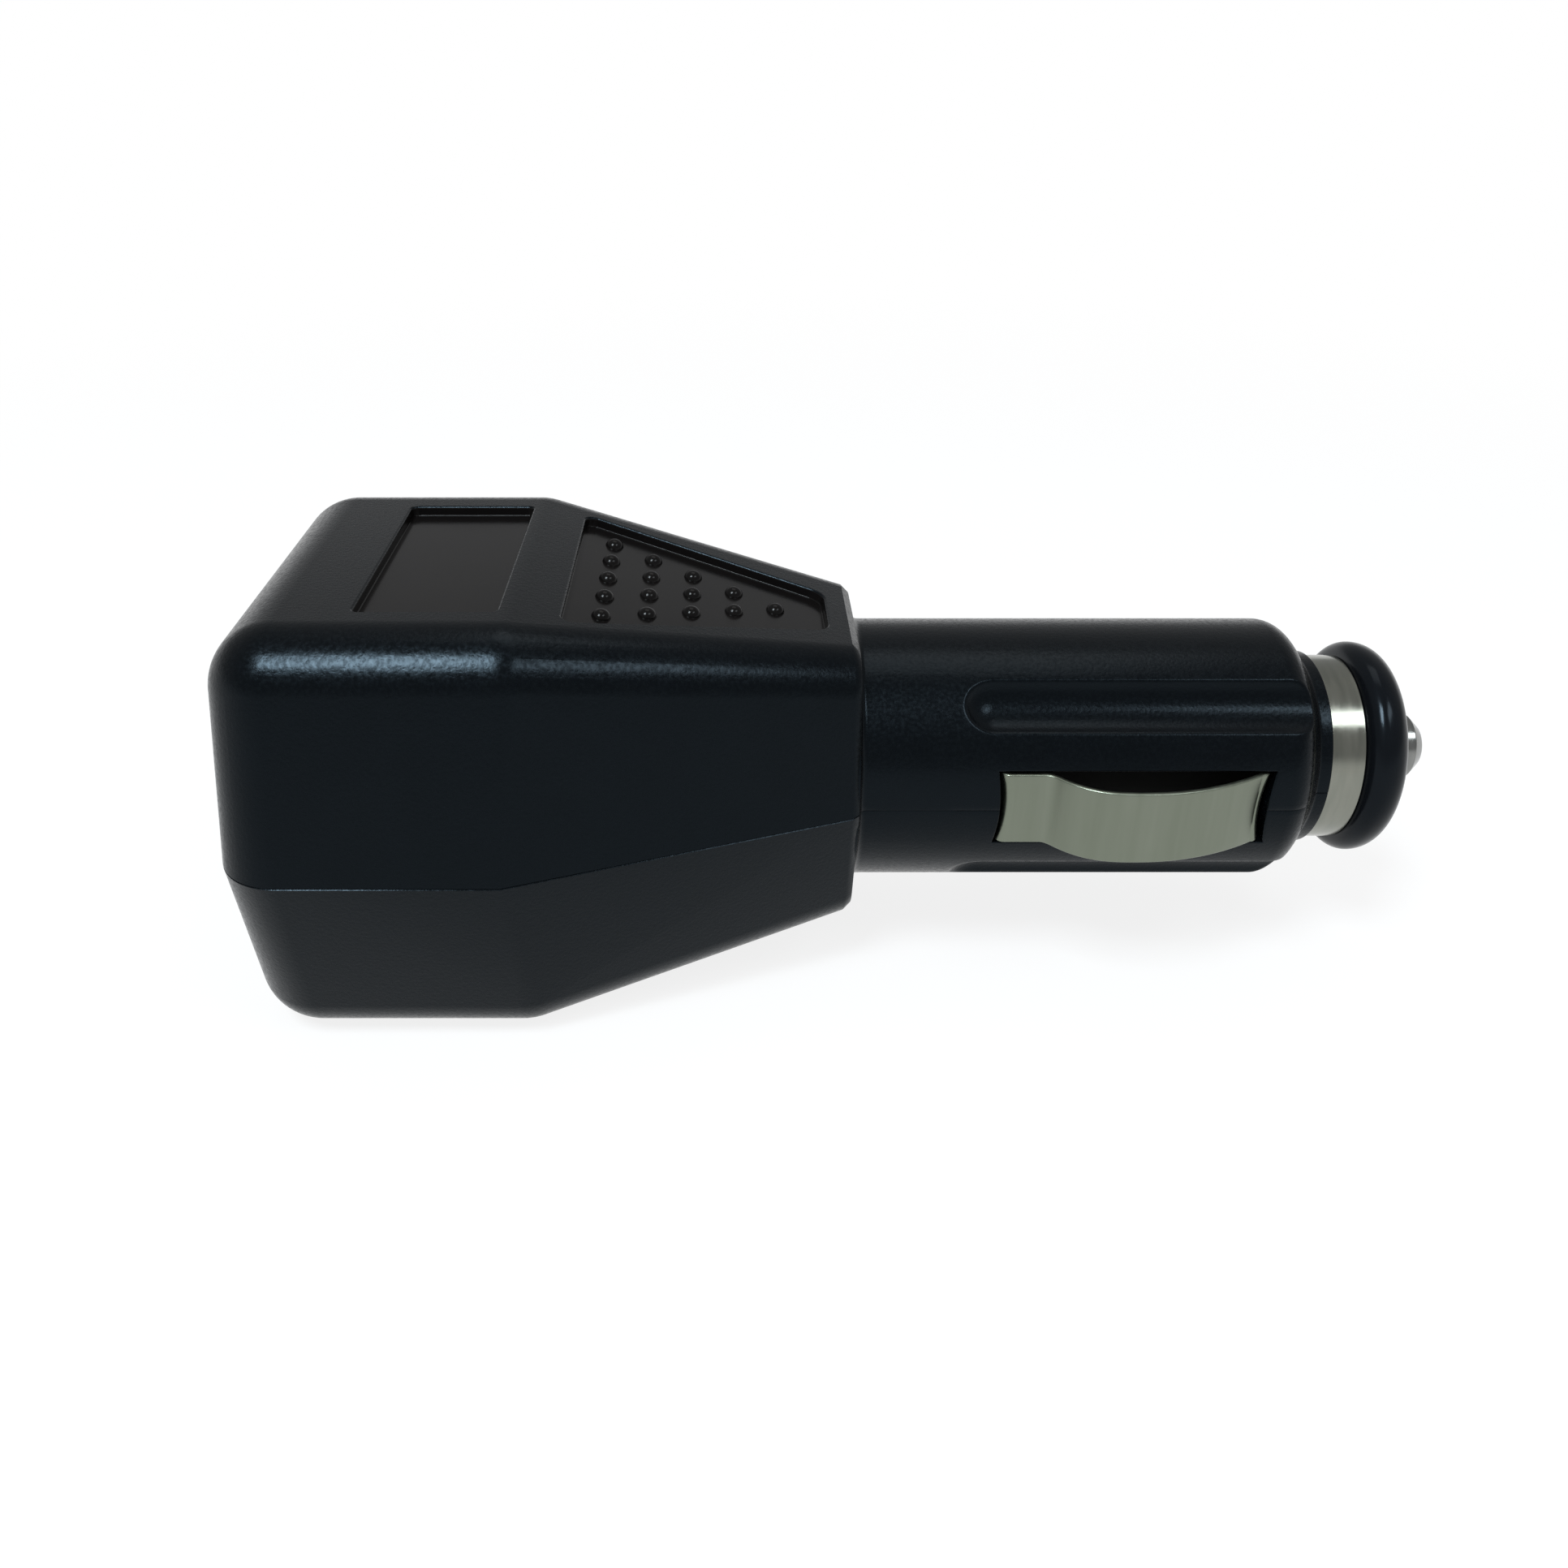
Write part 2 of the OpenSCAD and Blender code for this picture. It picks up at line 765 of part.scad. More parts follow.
// Fuse spring, swept along a helix between the seat and the fuse
module fuse_spring() {
    sides = 8;
    steps = 24;
    wire_r = spring_wire_d / 2;
    first = seat_front + wire_r + eps;
    rise = fuse_rear - wire_r - eps - first;
    rings = spring_turns * steps;
    points = [
        for (i = [0 : rings])
            for (k = [0 : sides - 1])
                let (a = 360 * i / steps, b = 360 * k / sides, r = spring_d / 2 + wire_r * cos(b))
                    [first + rise * i / rings + wire_r * sin(b), r * cos(a), r * sin(a)]
    ];
    faces = [
        for (i = [0 : rings - 1])
            for (k = [0 : sides - 1])
                let (next = (k + 1) % sides)
                    [i * sides + k, (i + 1) * sides + k, (i + 1) * sides + next, i * sides + next]
    ];
    start_cap = [[for (k = [0 : sides - 1]) k]];
    end_cap = [[for (k = [sides - 1 : -1 : 0]) rings * sides + k]];
    color([0.6, 0.6, 0.6])
        polyhedron(points = points, faces = concat(faces, start_cap, end_cap), convexity = 10);
}

// Plate behind the spring and its tail on the board, grown by gap where the shells are cut for it
module spring_seat_form(gap) {
    block(
        [seat_front - seat_t - gap, -seat_half - gap, -seat_half - gap],
        [seat_front + (gap > 0 ? eps : 0), seat_half + gap, seat_half + gap]
    );
    block(
        [board_front - seat_tail_reach - gap, -seat_tail_w / 2 - gap, board_top - gap],
        [seat_front - eps, seat_tail_w / 2 + gap, board_top + seat_t + gap]
    );
}

module spring_seat() {
    color([0.75, 0.6, 0.3])
        spring_seat_form(0);
}

// Height of a side contact's outer face above the axis, at x along the barrel
function rise(t) = 1 - pow(1 - t, 3);
function fall(t) = (bow_height + tip_drop) * t * t;
function bow_y(x) =
    x < bow_start ? contact_flat_y
    : x < bow_crest ? contact_flat_y + bow_height * rise((x - bow_start) / (bow_crest - bow_start))
    : contact_flat_y + bow_height - fall((x - bow_crest) / (contact_end - bow_crest));

// Outline of the bowed strip, with its two legs, in the barrel's length and height
module contact_outline() {
    steps = 40;
    places = [for (i = [0 : steps]) contact_start + (contact_end - contact_start) * i / steps];
    polygon(concat(
        [for (x = places) [x, bow_y(x)]],
        [for (i = [steps : -1 : 0]) [places[i], bow_y(places[i]) - contact_t]]
    ));
    foot = seat_y - plate_t / 2;
    translate([contact_start, foot])
        square([contact_t, contact_flat_y - contact_t / 2 - foot]);
    translate([contact_end - contact_t, foot])
        square([contact_t, bow_y(contact_end) - contact_t / 2 - foot]);
}

// One side contact: the strip outside, and the wider plate that rests against the barrel's wall
module side_contact() {
    translate([0, 0, -contact_w / 2])
        linear_extrude(height = contact_w)
            contact_outline();
    block([plate_rear, seat_y - plate_t, -plate_half_w], [plate_front, seat_y, plate_half_w]);
}

module left_contact() {
    color([0.66, 0.67, 0.62])
        side_contact();
}

module right_contact() {
    color([0.66, 0.67, 0.62])
        mirror([0, 1, 0])
            side_contact();
}

// Strap from the board to a side contact: its end plate is wiped by the contact's edge
module ground_strap() {
    top = board_top + strap_h;
    wiper_low = seat_y - plate_t - contact_travel - wiper_lap;
    block([strap_rear, strap_y - strap_t / 2, board_top], [plate_rear, strap_y + strap_t / 2, top]);
    block([plate_rear - strap_t, wiper_low, board_top], [plate_rear, seat_y - fit, top]);
}

module left_ground_strap() {
    color([0.75, 0.6, 0.3])
        ground_strap();
}

module right_ground_strap() {
    color([0.75, 0.6, 0.3])
        mirror([0, 1, 0])
            ground_strap();
}

// Circuit board, narrower where the head tapers
module circuit_board() {
    color([0.1, 0.35, 0.15])
        translate([0, 0, board_bottom])
            linear_extrude(height = board_t)
                polygon([
                    [board_rear, -board_w / 2],
                    [-board_taper, -board_w / 2],
                    [board_front, -board_front_w / 2],
                    [board_front, board_front_w / 2],
                    [-board_taper, board_w / 2],
                    [board_rear, board_w / 2]
                ]);
}

// Metal shell of the charging port
module port_shell() {
    half_w = port_w / 2;
    half_h = port_h / 2;
    color([0.8, 0.8, 0.8])
        difference() {
            block([port_rear, -half_w, -half_h], [port_front, half_w, half_h]);
            block(
                [port_rear - 1, -half_w + port_sheet, -half_h + port_sheet],
                [port_front + 1, half_w - port_sheet, half_h - port_sheet]
            );
        }
}

// The port's four contacts, grown by gap where the tongue is cut for them
module port_contact_forms(gap) {
    pitch = (tongue_w - 2 * port_pin_w) / 4;
    for (i = [-1.5 : 1 : 1.5]) {
        low_y = i * pitch - port_pin_w / 2 - gap;
        high_y = i * pitch + port_pin_w / 2 + gap;
        pin_rear = port_front - tongue_block - port_pin_len - gap;
        pin_front_x = port_front + port_pin_t;
        top = tongue_z + gap;
        block([pin_rear, low_y, tongue_z - port_pin_t - gap], [pin_front_x, high_y, top]);
        block([port_front, low_y, board_top], [pin_front_x, high_y, top]);
    }
}

module port_contacts() {
    color([0.85, 0.7, 0.3])
        port_contact_forms(0);
}

// Plastic tongue, and the block that carries it at the back of the port
module port_tongue() {
    color([0.92, 0.92, 0.9])
        difference() {
            union() {
                block(
                    [port_front - tongue_block, -port_w / 2 + port_sheet, -port_h / 2 + port_sheet],
                    [port_front, port_w / 2 - port_sheet, port_h / 2 - port_sheet]
                );
                block(
                    [port_rear + tongue_back, -tongue_w / 2, tongue_z],
                    [port_front - tongue_block + eps, tongue_w / 2, tongue_z + tongue_t]
                );
            }
            port_contact_forms(eps);
        }
}

// Ferrite drum of the coil
module coil_core() {
    flange = coil_h / 5;
    color([0.2, 0.2, 0.22])
        translate([coil_x, 0, board_top]) {
            cylinder(d = coil_d, h = flange, $fn = smooth);
            cylinder(d = coil_d / 2, h = coil_h, $fn = smooth);
            translate([0, 0, coil_h - flange])
                cylinder(d = coil_d, h = flange, $fn = smooth);
        }
}

// Copper winding on the drum
module coil_winding() {
    flange = coil_h / 5;
    color([0.72, 0.4, 0.2])
        translate([coil_x, 0, board_top + flange + eps])
            difference() {
                cylinder(d = coil_d - 2 * winding_in, h = coil_h - 2 * flange - 2 * eps, $fn = smooth);
                translate([0, 0, -1])
                    cylinder(d = coil_d / 2 + 2 * eps, h = coil_h, $fn = smooth);
            }
}

// Standing capacitor with a groove near its foot
module capacitor(x, y, height) {
    translate([x, y, board_top])
        rotate_extrude($fn = smooth)
            difference() {
                square([cap_r, height]);
                translate([cap_r + cap_groove_out, cap_groove_z])
                    circle(r = cap_groove_r, $fn = 48);
            }
}

module input_capacitor() {
    color([0.15, 0.2, 0.45])
        capacitor(port_front + input_cap_share * room, cap_r + part_gap, input_cap_h);
}

module output_capacitor() {
    color([0.15, 0.2, 0.45])
        capacitor(coil_x - cap_r, coil_d / 2 + cap_r + 2 * part_gap, output_cap_h);
}

// Moulded chip with a row of legs on each side
module chip(x, y, length, width, height, legs) {
    pitch = length / legs;
    translate([x, y, board_top]) {
        block([-length / 2, -width / 2, lift], [length / 2, width / 2, height]);
        for (i = [0 : legs - 1]) {
            leg_x = (i - (legs - 1) / 2) * pitch;
            block(
                [leg_x - leg_w / 2, -width / 2 - leg_out, 0],
                [leg_x + leg_w / 2, width / 2 + leg_out, leg_t]
            );
        }
    }
}

module regulator_chip() {
    chip_y = -chip_w / 2 - leg_out - part_gap;
    color([0.12, 0.12, 0.12])
        chip(port_front + chip_share * room, chip_y, chip_len, chip_w, chip_h, 4);
}

module control_chip() {
    color([0.12, 0.12, 0.12])
        chip(
            port_front + control_len, -board_w / 2 + control_in,
            control_len, control_w, control_h, 3
        );
}

// Box of a given size, centred in plan, standing at height z
module centred(size, z) {
    translate([-size.x / 2, -size.y / 2, z])
        cube([size.x, size.y, size.z - z]);
}

module rectifier_diode() {
    diode_y = -coil_d / 2 - diode_size.y - 2 * part_gap;
    color([0.1, 0.1, 0.1])
        translate([coil_x + diode_lead.y, diode_y, board_top]) {
            centred(diode_size, lift);
            centred(diode_lead, 0);
        }
}

// Five chip resistors, each a small block on the board
module chip_resistors() {
    edge_y = board_w / 2 - resistor_in;
    inner_y = board_front_w / 2 + part_gap;
    places = [
        [port_rear + port_len / 2, -edge_y],
        [port_rear + port_len * 3 / 4, -edge_y],
        [port_rear + port_len * 3 / 4, edge_y],
        [port_front + resistor_share * room, inner_y],
        [port_front + resistor_share * room, -inner_y]
    ];
    color([0.15, 0.15, 0.17])
        for (place = places) {
            translate([place.x, place.y, board_top])
                centred(resistor_size, 0);
        }
}

upper_housing();
lower_housing();
retaining_ring();
tip_collar();
centre_pin();
fuse_front_cap();
fuse_rear_cap();
fuse_glass();
fuse_wire();
fuse_spring();
spring_seat();
left_contact();
right_contact();
left_ground_strap();
right_ground_strap();
circuit_board();
port_shell();
port_tongue();
port_contacts();
coil_core();
coil_winding();
input_capacitor();
output_capacitor();
regulator_chip();
control_chip();
rectifier_diode();
chip_resistors();
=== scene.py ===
"""Looks of a 12 V car socket plug with a USB charging port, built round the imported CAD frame."""

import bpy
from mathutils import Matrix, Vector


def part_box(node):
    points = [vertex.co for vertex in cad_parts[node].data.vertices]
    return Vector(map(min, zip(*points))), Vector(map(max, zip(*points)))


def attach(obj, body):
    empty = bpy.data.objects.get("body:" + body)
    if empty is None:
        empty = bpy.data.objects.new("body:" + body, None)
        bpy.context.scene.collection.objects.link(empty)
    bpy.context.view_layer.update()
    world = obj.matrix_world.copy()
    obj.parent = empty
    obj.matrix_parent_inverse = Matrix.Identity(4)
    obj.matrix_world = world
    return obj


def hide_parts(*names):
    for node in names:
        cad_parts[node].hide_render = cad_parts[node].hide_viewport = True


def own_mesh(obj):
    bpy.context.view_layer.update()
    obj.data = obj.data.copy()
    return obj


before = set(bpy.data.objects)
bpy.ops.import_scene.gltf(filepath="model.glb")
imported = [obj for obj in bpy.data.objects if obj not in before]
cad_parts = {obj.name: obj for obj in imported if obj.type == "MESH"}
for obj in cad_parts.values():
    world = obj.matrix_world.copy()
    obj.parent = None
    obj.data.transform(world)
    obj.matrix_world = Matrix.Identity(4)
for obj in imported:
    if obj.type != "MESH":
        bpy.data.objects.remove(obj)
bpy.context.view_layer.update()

import math

import bmesh
import bpy
from mathutils import Matrix, Vector

# Sizes in millimetres, as in the CAD source; the meshes are made in millimetres and scaled in dress()
MM = 0.001
EPS = 0.01
HEAD_LEN, HEAD_H, HEAD_W, HEAD_R = 46.6, 33.6, 42.3, 5.0
SIDE_LEAN = math.radians(15)
TAPER_LEN, NOSE_H, NOSE_W, NOSE_R, NOSE_CHAMFER = 26.0, 23.5, 23.6, 4.0, 0.6
WALL, NOSE_WALL, PARTING = 2.2, 4.0, 0.07
RECESS_DEPTH = 0.8
BADGE_INSET, BADGE_LEN, BADGE_W, BADGE_R = 10.1, 10.2, 22.4, 0.5
GRIP_REAR, GRIP_FRONT, GRIP_REAR_W, GRIP_FRONT_W = 22.3, 2.3, 21.8, 8.4
GRIP_REAR_R, GRIP_FRONT_R = 0.8, 1.8
BUMP_ROWS, BUMP_FIRST, BUMP_STEP, BUMP_PITCH, BUMP_D, BUMP_H = 5, 19.55, 3.33, 3.67, 1.5, 0.6
BARREL_R, BARREL_LEN, BARREL_NOSE, NECK_R = 10.5, 36.9, 4.0, 7.85
SHOULDER_R, SHOULDER_ANGLE = 2.3, math.radians(58)
BORE_R, ROOT_FILLET = 8.0, 0.6
FLUTE_R, FLUTE_DEPTH, FLUTE_START = 3.2, 1.0, 8.0
FLUTE_ANGLES = (math.radians(45), math.radians(135))
CONTACT_W, CONTACT_T, CONTACT_START, CONTACT_END = 6.0, 0.45, 10.7, 31.2
BOW_START, BOW_CREST = 14.6, 21.0
FLAT_Y, CREST_Y, TIP_Y, SEAT_Y = 10.3, 13.2, 9.8, 8.2
PLATE_T, PLATE_REAR, PLATE_FRONT, PLATE_HALF_W = 0.4, 9.7, 31.4, 4.2
SLOT_REAR, SLOT_FRONT, SLOT_HALF_W = 10.55, 31.6, 3.15
SLOT_BULGE, END_HOLLOW = 0.26, 0.38
POCKET_REAR, POCKET_HALF_W = 9.2, 4.4
BULKHEAD_REAR, GROOVE_REAR, GROOVE_FRONT = 31.5, 32.6, 34.0
RING_REAR, RING_FRONT, RING_R, RING_BORE_R = 32.7, 39.7, 7.5, 6.5
RING_FLANGE_R, RING_FLANGE_T = 8.4, 1.2
COLLAR_FRONT, COLLAR_R, COLLAR_EDGE_R, COLLAR_REAR_R, COLLAR_FACE_R = 43.4, 8.6, 2.1, 1.3, 3.4
COLLAR_SLEEVE_R, COLLAR_BORE_R = 6.45, 4.4
PIN_R, PIN_END_R, PIN_FRONT, PIN_TAPER = 2.64, 1.742, 46.8, 0.9
PIN_FLANGE_R, PIN_FLANGE_REAR, PIN_FLANGE_FRONT = 4.2, 34.7, 35.9
GUIDE_BORE_R, GUIDE_WALL, GUIDE_LEN = 3.35, 1.2, 8.0
SEAT_FRONT, SEAT_T, SEAT_HALF, SEAT_TAIL_W = -2.4, 0.5, 4.2, 3.0
PORT_W, PORT_H, PORT_SHEET, PORT_R, PORT_REAR, PORT_FRONT = 13.1, 5.7, 0.3, 0.6, -46.3, -32.3
BOARD_FRONT, BOARD_TOP, BOARD_BOTTOM = -4.3, -2.85, -4.45
STRAP_Y, STRAP_T, STRAP_H = 7.0, 0.4, 4.4
PEG_PLACES = [(x, side * 15.4) for x in (-37.1, -25.0) for side in (-1, 1)]
POST_PLACES = [(-41.1, -10.7), (-41.1, 10.7), (-11.0, -7.0), (-11.0, 7.0)]
PORT_POSTS = [(-35.3, -3.275), (-35.3, 3.275)]
PEG_R, PEG_LEN, PEG_SPARE, BOSS_R, POST_R = 1.0, 3.5, 0.5, 1.9, 1.6
SPRING_R, SPRING_WIRE_R, SPRING_TURNS, PIN_TRAVEL = 2.5, 0.35, 5.5, 2.0
TOUCH, FIT, FLOOR_GAP = 0.05, 0.1, 0.02

# Roundings that the moulds and dies leave: on a recess's lip and floor, in creases, at the port's mouth and
# along a strip's edges
LIP_R, FLOOR_R, CREASE_R, MOUTH_R, STRIP_EDGE_R = 0.22, 0.08, 0.10, 0.4, 0.14
# How softly the shoulder meets the neck and a flute meets the barrel, and the groove of the parting line
NECK_EASE, FLUTE_EASE, BARREL_PARTING = 0.35, 0.2, 0.04
# Share of the root fillet at which the barrel's surface starts, so that it isn't level with the head's face
ROOT_START = 0.015
# Length over which a strip's end is hollowed, and how quickly the hollow grows
HOLLOW_LEN, HOLLOW_POWER = 2.2, 1.5
# How far a cutter reaches past what it cuts, and the lean below which faces of a hull count as one
PAST, SAME_LEAN = 1, math.radians(0.03)


# Mesh building

def new_object(name, bm):
    """Turns a bmesh into an object of the scene, with its faces turned outwards."""
    mesh = bpy.data.meshes.new(name)
    bmesh.ops.recalc_face_normals(bm, faces=bm.faces)
    bm.to_mesh(mesh)
    bm.free()
    made = bpy.data.objects.new(name, mesh)
    bpy.context.scene.collection.objects.link(made)
    return made


def hull(name, points):
    """Convex hull of points, with its flat faces joined."""
    bm = bmesh.new()
    for p in points:
        bm.verts.new(p)
    made = bmesh.ops.convex_hull(bm, input=bm.verts)
    unused = made["geom_interior"] + made["geom_unused"]
    spare = {v for v in unused if isinstance(v, bmesh.types.BMVert)}
    bmesh.ops.delete(bm, geom=list(spare), context="VERTS")
    bmesh.ops.dissolve_limit(bm, angle_limit=SAME_LEAN, verts=bm.verts, edges=bm.edges)
    return new_object(name, bm)


def loft(name, loops, ring=False):
    """Closed solid through loops of as many points each, capped at both ends or joined into a ring."""
    bm = bmesh.new()
    rows = [[bm.verts.new(p) for p in loop] for loop in loops]
    count = len(rows[0])
    for low, high in zip(rows, rows[1:] + rows[:1] if ring else rows[1:]):
        for i in range(count):
            j = (i + 1) % count
            bm.faces.new((low[i], low[j], high[j], high[i]))
    if not ring:
        bm.faces.new(list(reversed(rows[0])))
        bm.faces.new(rows[-1])
    return new_object(name, bm)


def revolve(name, profile, segments=128):
    """Solid turned about X from a closed profile of (x, radius); points on the axis become poles."""
    bm = bmesh.new()
    rows = []
    for x, r in profile:
        if r < 1e-6:
            rows.append([bm.verts.new((x, 0, 0))])
        else:
            turns = [2 * math.pi * i / segments for i in range(segments)]
            rows.append([bm.verts.new((x, r * math.cos(a), r * math.sin(a))) for a in turns])
    for low, high in zip(rows, rows[1:] + rows[:1]):
        if len(low) == 1 and len(high) == 1:
            continue
        for i in range(segments):
            j = (i + 1) % segments
            corners = [low[i % len(low)], low[j % len(low)], high[j % len(high)], high[i % len(high)]]
            bm.faces.new(list(dict.fromkeys(corners)))
    return new_object(name, bm)


def rounded_profile(corners, steps=6):
    """Profile through corners given as (x, y, radius), each corner rounded by its radius."""
    made = []
    for i, (x, y, r) in enumerate(corners):
        here = Vector((x, y))
        if r <= 0:
            made.append((x, y))
            continue
        back = (Vector(corners[i - 1][:2]) - here).normalized()
        ahead = (Vector(corners[(i + 1) % len(corners)][:2]) - here).normalized()
        half = back.angle(ahead) / 2
        centre = here + (back + ahead).normalized() * (r / math.sin(half))
        start = here + back * (r / math.tan(half)) - centre
        end = here + ahead * (r / math.tan(half)) - centre
        turn = math.atan2(start.x * end.y - start.y * end.x, start.dot(end))
        for k in range(steps + 1):
            p = centre + Matrix.Rotation(turn * k / steps, 2) @ start
            made.append((p.x, p.y))
    return made


def block(low, high):
    """Box between two corners."""
    bm = bmesh.new()
    bmesh.ops.create_cube(bm, size=1.0)
    for v in bm.verts:
        v.co = Vector([low[k] if v.co[k] < 0 else high[k] for k in range(3)])
    return new_object("cutter", bm)


def upright(x, y, low, high, r, segments=48):
    """Upright round rod at x, y between two heights."""
    ring = [(x + r * math.cos(a), y + r * math.sin(a))
            for a in (2 * math.pi * i / segments for i in range(segments))]
    return loft("cutter", [[(px, py, z) for px, py in ring] for z in (low, high)])


def bar(start, end, r, segments=96):
    """Round rod along the plug's axis."""
    return revolve("cutter", [(start, 0), (start, r), (end, r), (end, 0)], segments)


def boolean(target, operand, operation):
    """Applies one boolean and throws the operand away."""
    step = target.modifiers.new("step", "BOOLEAN")
    step.operation = operation
    step.solver = "MANIFOLD"
    step.object = operand
    bpy.context.view_layer.update()
    made = bpy.data.meshes.new_from_object(target.evaluated_get(bpy.context.evaluated_depsgraph_get()))
    target.modifiers.clear()
    target.data = made
    bpy.data.objects.remove(operand)


def cut(target, *operands):
    """Takes each operand away from the target."""
    for operand in operands:
        boolean(target, operand, "DIFFERENCE")


def join(target, *operands):
    """Adds each operand to the target."""
    for operand in operands:
        boolean(target, operand, "UNION")


def dress(piece, name, body, materials, nodes, sharp=32):
    """Scales a finished mesh to metres, smooths it and puts it in the frame in place of its CAD nodes."""
    piece.name = name
    piece.data.name = name
    piece.data.transform(Matrix.Scale(MM, 4))
    piece.data.materials.clear()
    for material in materials:
        piece.data.materials.append(material)
    piece.data.polygons.foreach_set("use_smooth", [True] * len(piece.data.polygons))
    piece.data.set_sharp_from_angle(angle=math.radians(sharp))
    normals = piece.modifiers.new("normals", "WEIGHTED_NORMAL")
    normals.keep_sharp = True
    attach(piece, body)
    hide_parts(*nodes)
    return piece


# Materials: each one has its own colour variation, roughness variation and grain

COAT_ROUGH, PATCH_DETAIL, GRAIN_DETAIL = 0.08, 3.0, 2.0
# Values between which most of a noise lies
NOISE_LOW, NOISE_HIGH = 0.3, 0.7


def link(tree, source, target):
    """Joins an output of the node tree to an input."""
    tree.links.new(source, target)


def remap(tree, value, start, end, made_start, made_end, kind="LINEAR"):
    """Output that goes from made_start to made_end while value goes from start to end."""
    spread = tree.nodes.new("ShaderNodeMapRange")
    spread.interpolation_type = kind
    spread.inputs["From Min"].default_value = start
    spread.inputs["From Max"].default_value = end
    spread.inputs["To Min"].default_value = made_start
    spread.inputs["To Max"].default_value = made_end
    link(tree, value, spread.inputs["Value"])
    return spread.outputs["Result"]


def surface(name, colour, second, metallic=0.0, rough=(0.35, 0.45), specular=0.5, grain_mm=0.25,
            depth_mm=0.01, patch_mm=6.0, stretch=(1, 1, 1), coat=0.0, alpha=1.0, speckle=False,
            tint=(1, 1, 1)):
    """Procedural finish: two colours mixed in soft patches, a varied roughness and a fine grain.

    The roughness follows the patches, or the grain where speckle is set.
    """
    made = bpy.data.materials.new(name)
    made.use_nodes = True
    tree = made.node_tree
    nodes = tree.nodes
    shader = nodes["Principled BSDF"]
    shader.inputs["Metallic"].default_value = metallic
    shader.inputs["Specular IOR Level"].default_value = specular
    shader.inputs["Specular Tint"].default_value = (*tint, 1)
    shader.inputs["Coat Weight"].default_value = coat
    shader.inputs["Coat Roughness"].default_value = COAT_ROUGH
    shader.inputs["Alpha"].default_value = alpha
    places = nodes.new("ShaderNodeTexCoord")
    mapping = nodes.new("ShaderNodeMapping")
    mapping.inputs["Scale"].default_value = stretch
    link(tree, places.outputs["Object"], mapping.inputs["Vector"])

    def noise(size_mm, detail):
        made_noise = nodes.new("ShaderNodeTexNoise")
        made_noise.inputs["Scale"].default_value = 1 / (size_mm * MM)
        made_noise.inputs["Detail"].default_value = detail
        link(tree, mapping.outputs["Vector"], made_noise.inputs["Vector"])
        return made_noise

    patches = noise(patch_mm, PATCH_DETAIL)
    grain = noise(grain_mm, GRAIN_DETAIL)
    mix = nodes.new("ShaderNodeMix")
    mix.data_type = "RGBA"
    mix.inputs["A"].default_value = (*colour, 1)
    mix.inputs["B"].default_value = (*second, 1)
    link(tree, patches.outputs["Fac"], mix.inputs["Factor"])
    link(tree, mix.outputs["Result"], shader.inputs["Base Color"])
    variation = (grain if speckle else patches).outputs["Fac"]
    link(tree, remap(tree, variation, NOISE_LOW, NOISE_HIGH, *rough), shader.inputs["Roughness"])
    bump = nodes.new("ShaderNodeBump")
    bump.inputs["Strength"].default_value = 1.0
    bump.inputs["Distance"].default_value = depth_mm * MM
    link(tree, grain.outputs["Fac"], bump.inputs["Height"])
    link(tree, bump.outputs["Normal"], shader.inputs["Normal"])
    return made


GRAINED = surface("grained_black_plastic", (0.0008, 0.0010, 0.0013), (0.0014, 0.0018, 0.0024),
                  rough=(0.16, 0.34), specular=0.135, grain_mm=0.28, depth_mm=0.015, patch_mm=4, speckle=True,
                  tint=(0.64, 0.84, 1.0))
SMOOTH = surface("smooth_black_plastic", (0.0034, 0.0030, 0.0030), (0.0050, 0.0042, 0.0040),
                 rough=(0.13, 0.19), specular=0.11, grain_mm=0.5, depth_mm=0.002, patch_mm=5)
COLLAR = surface("glossy_black_collar", (0.0026, 0.0030, 0.0038), (0.0040, 0.0046, 0.0058),
                 rough=(0.14, 0.22), specular=0.11, grain_mm=0.3, depth_mm=0.002, patch_mm=3,
                 stretch=(3, 1, 1), tint=(0.70, 0.86, 1.0))
RING = surface("turned_nickel", (0.18, 0.192, 0.165), (0.27, 0.27, 0.235), metallic=1.0,
               rough=(0.12, 0.22), grain_mm=0.16, depth_mm=0.0012, patch_mm=4, stretch=(6, 1, 1))
PIN = surface("turned_nickel_pin", (0.18, 0.186, 0.180), (0.28, 0.28, 0.27), metallic=1.0,
              rough=(0.14, 0.24), grain_mm=0.14, depth_mm=0.0015, patch_mm=2, stretch=(6, 1, 1))
LEAF = surface("satin_plated_spring_steel", (0.15, 0.170, 0.130), (0.215, 0.235, 0.190), metallic=1.0,
               rough=(0.28, 0.40), grain_mm=0.35, depth_mm=0.003, patch_mm=3, stretch=(3, 1, 0.25))
# Near-black plate: painted shade, standing for the shadow inside the barrel behind the strips
PLATE = surface("plate_painted_shade", (0.004, 0.004, 0.004), (0.007, 0.007, 0.006), rough=(0.5, 0.7),
                specular=0.1, grain_mm=0.2, depth_mm=0.002, patch_mm=2)
SPRING = surface("spring_steel", (0.40, 0.40, 0.41), (0.52, 0.52, 0.52), metallic=1.0, rough=(0.22, 0.36),
                 grain_mm=0.2, depth_mm=0.001, patch_mm=1)
TIN = surface("tinned_steel_sheet", (0.50, 0.50, 0.49), (0.62, 0.62, 0.60), metallic=1.0,
              rough=(0.22, 0.34), grain_mm=0.2, depth_mm=0.002, patch_mm=3)


# Housing: the head is a hull of finely drawn corners, the barrel a finely drawn polar surface

def edge_y(half_w, half_h, r):
    """Y of the centre of a top edge's rounding, on a section that is half_w wide at the parting plane."""
    return half_w - (half_h - r) * math.tan(SIDE_LEAN) - r / math.cos(SIDE_LEAN)


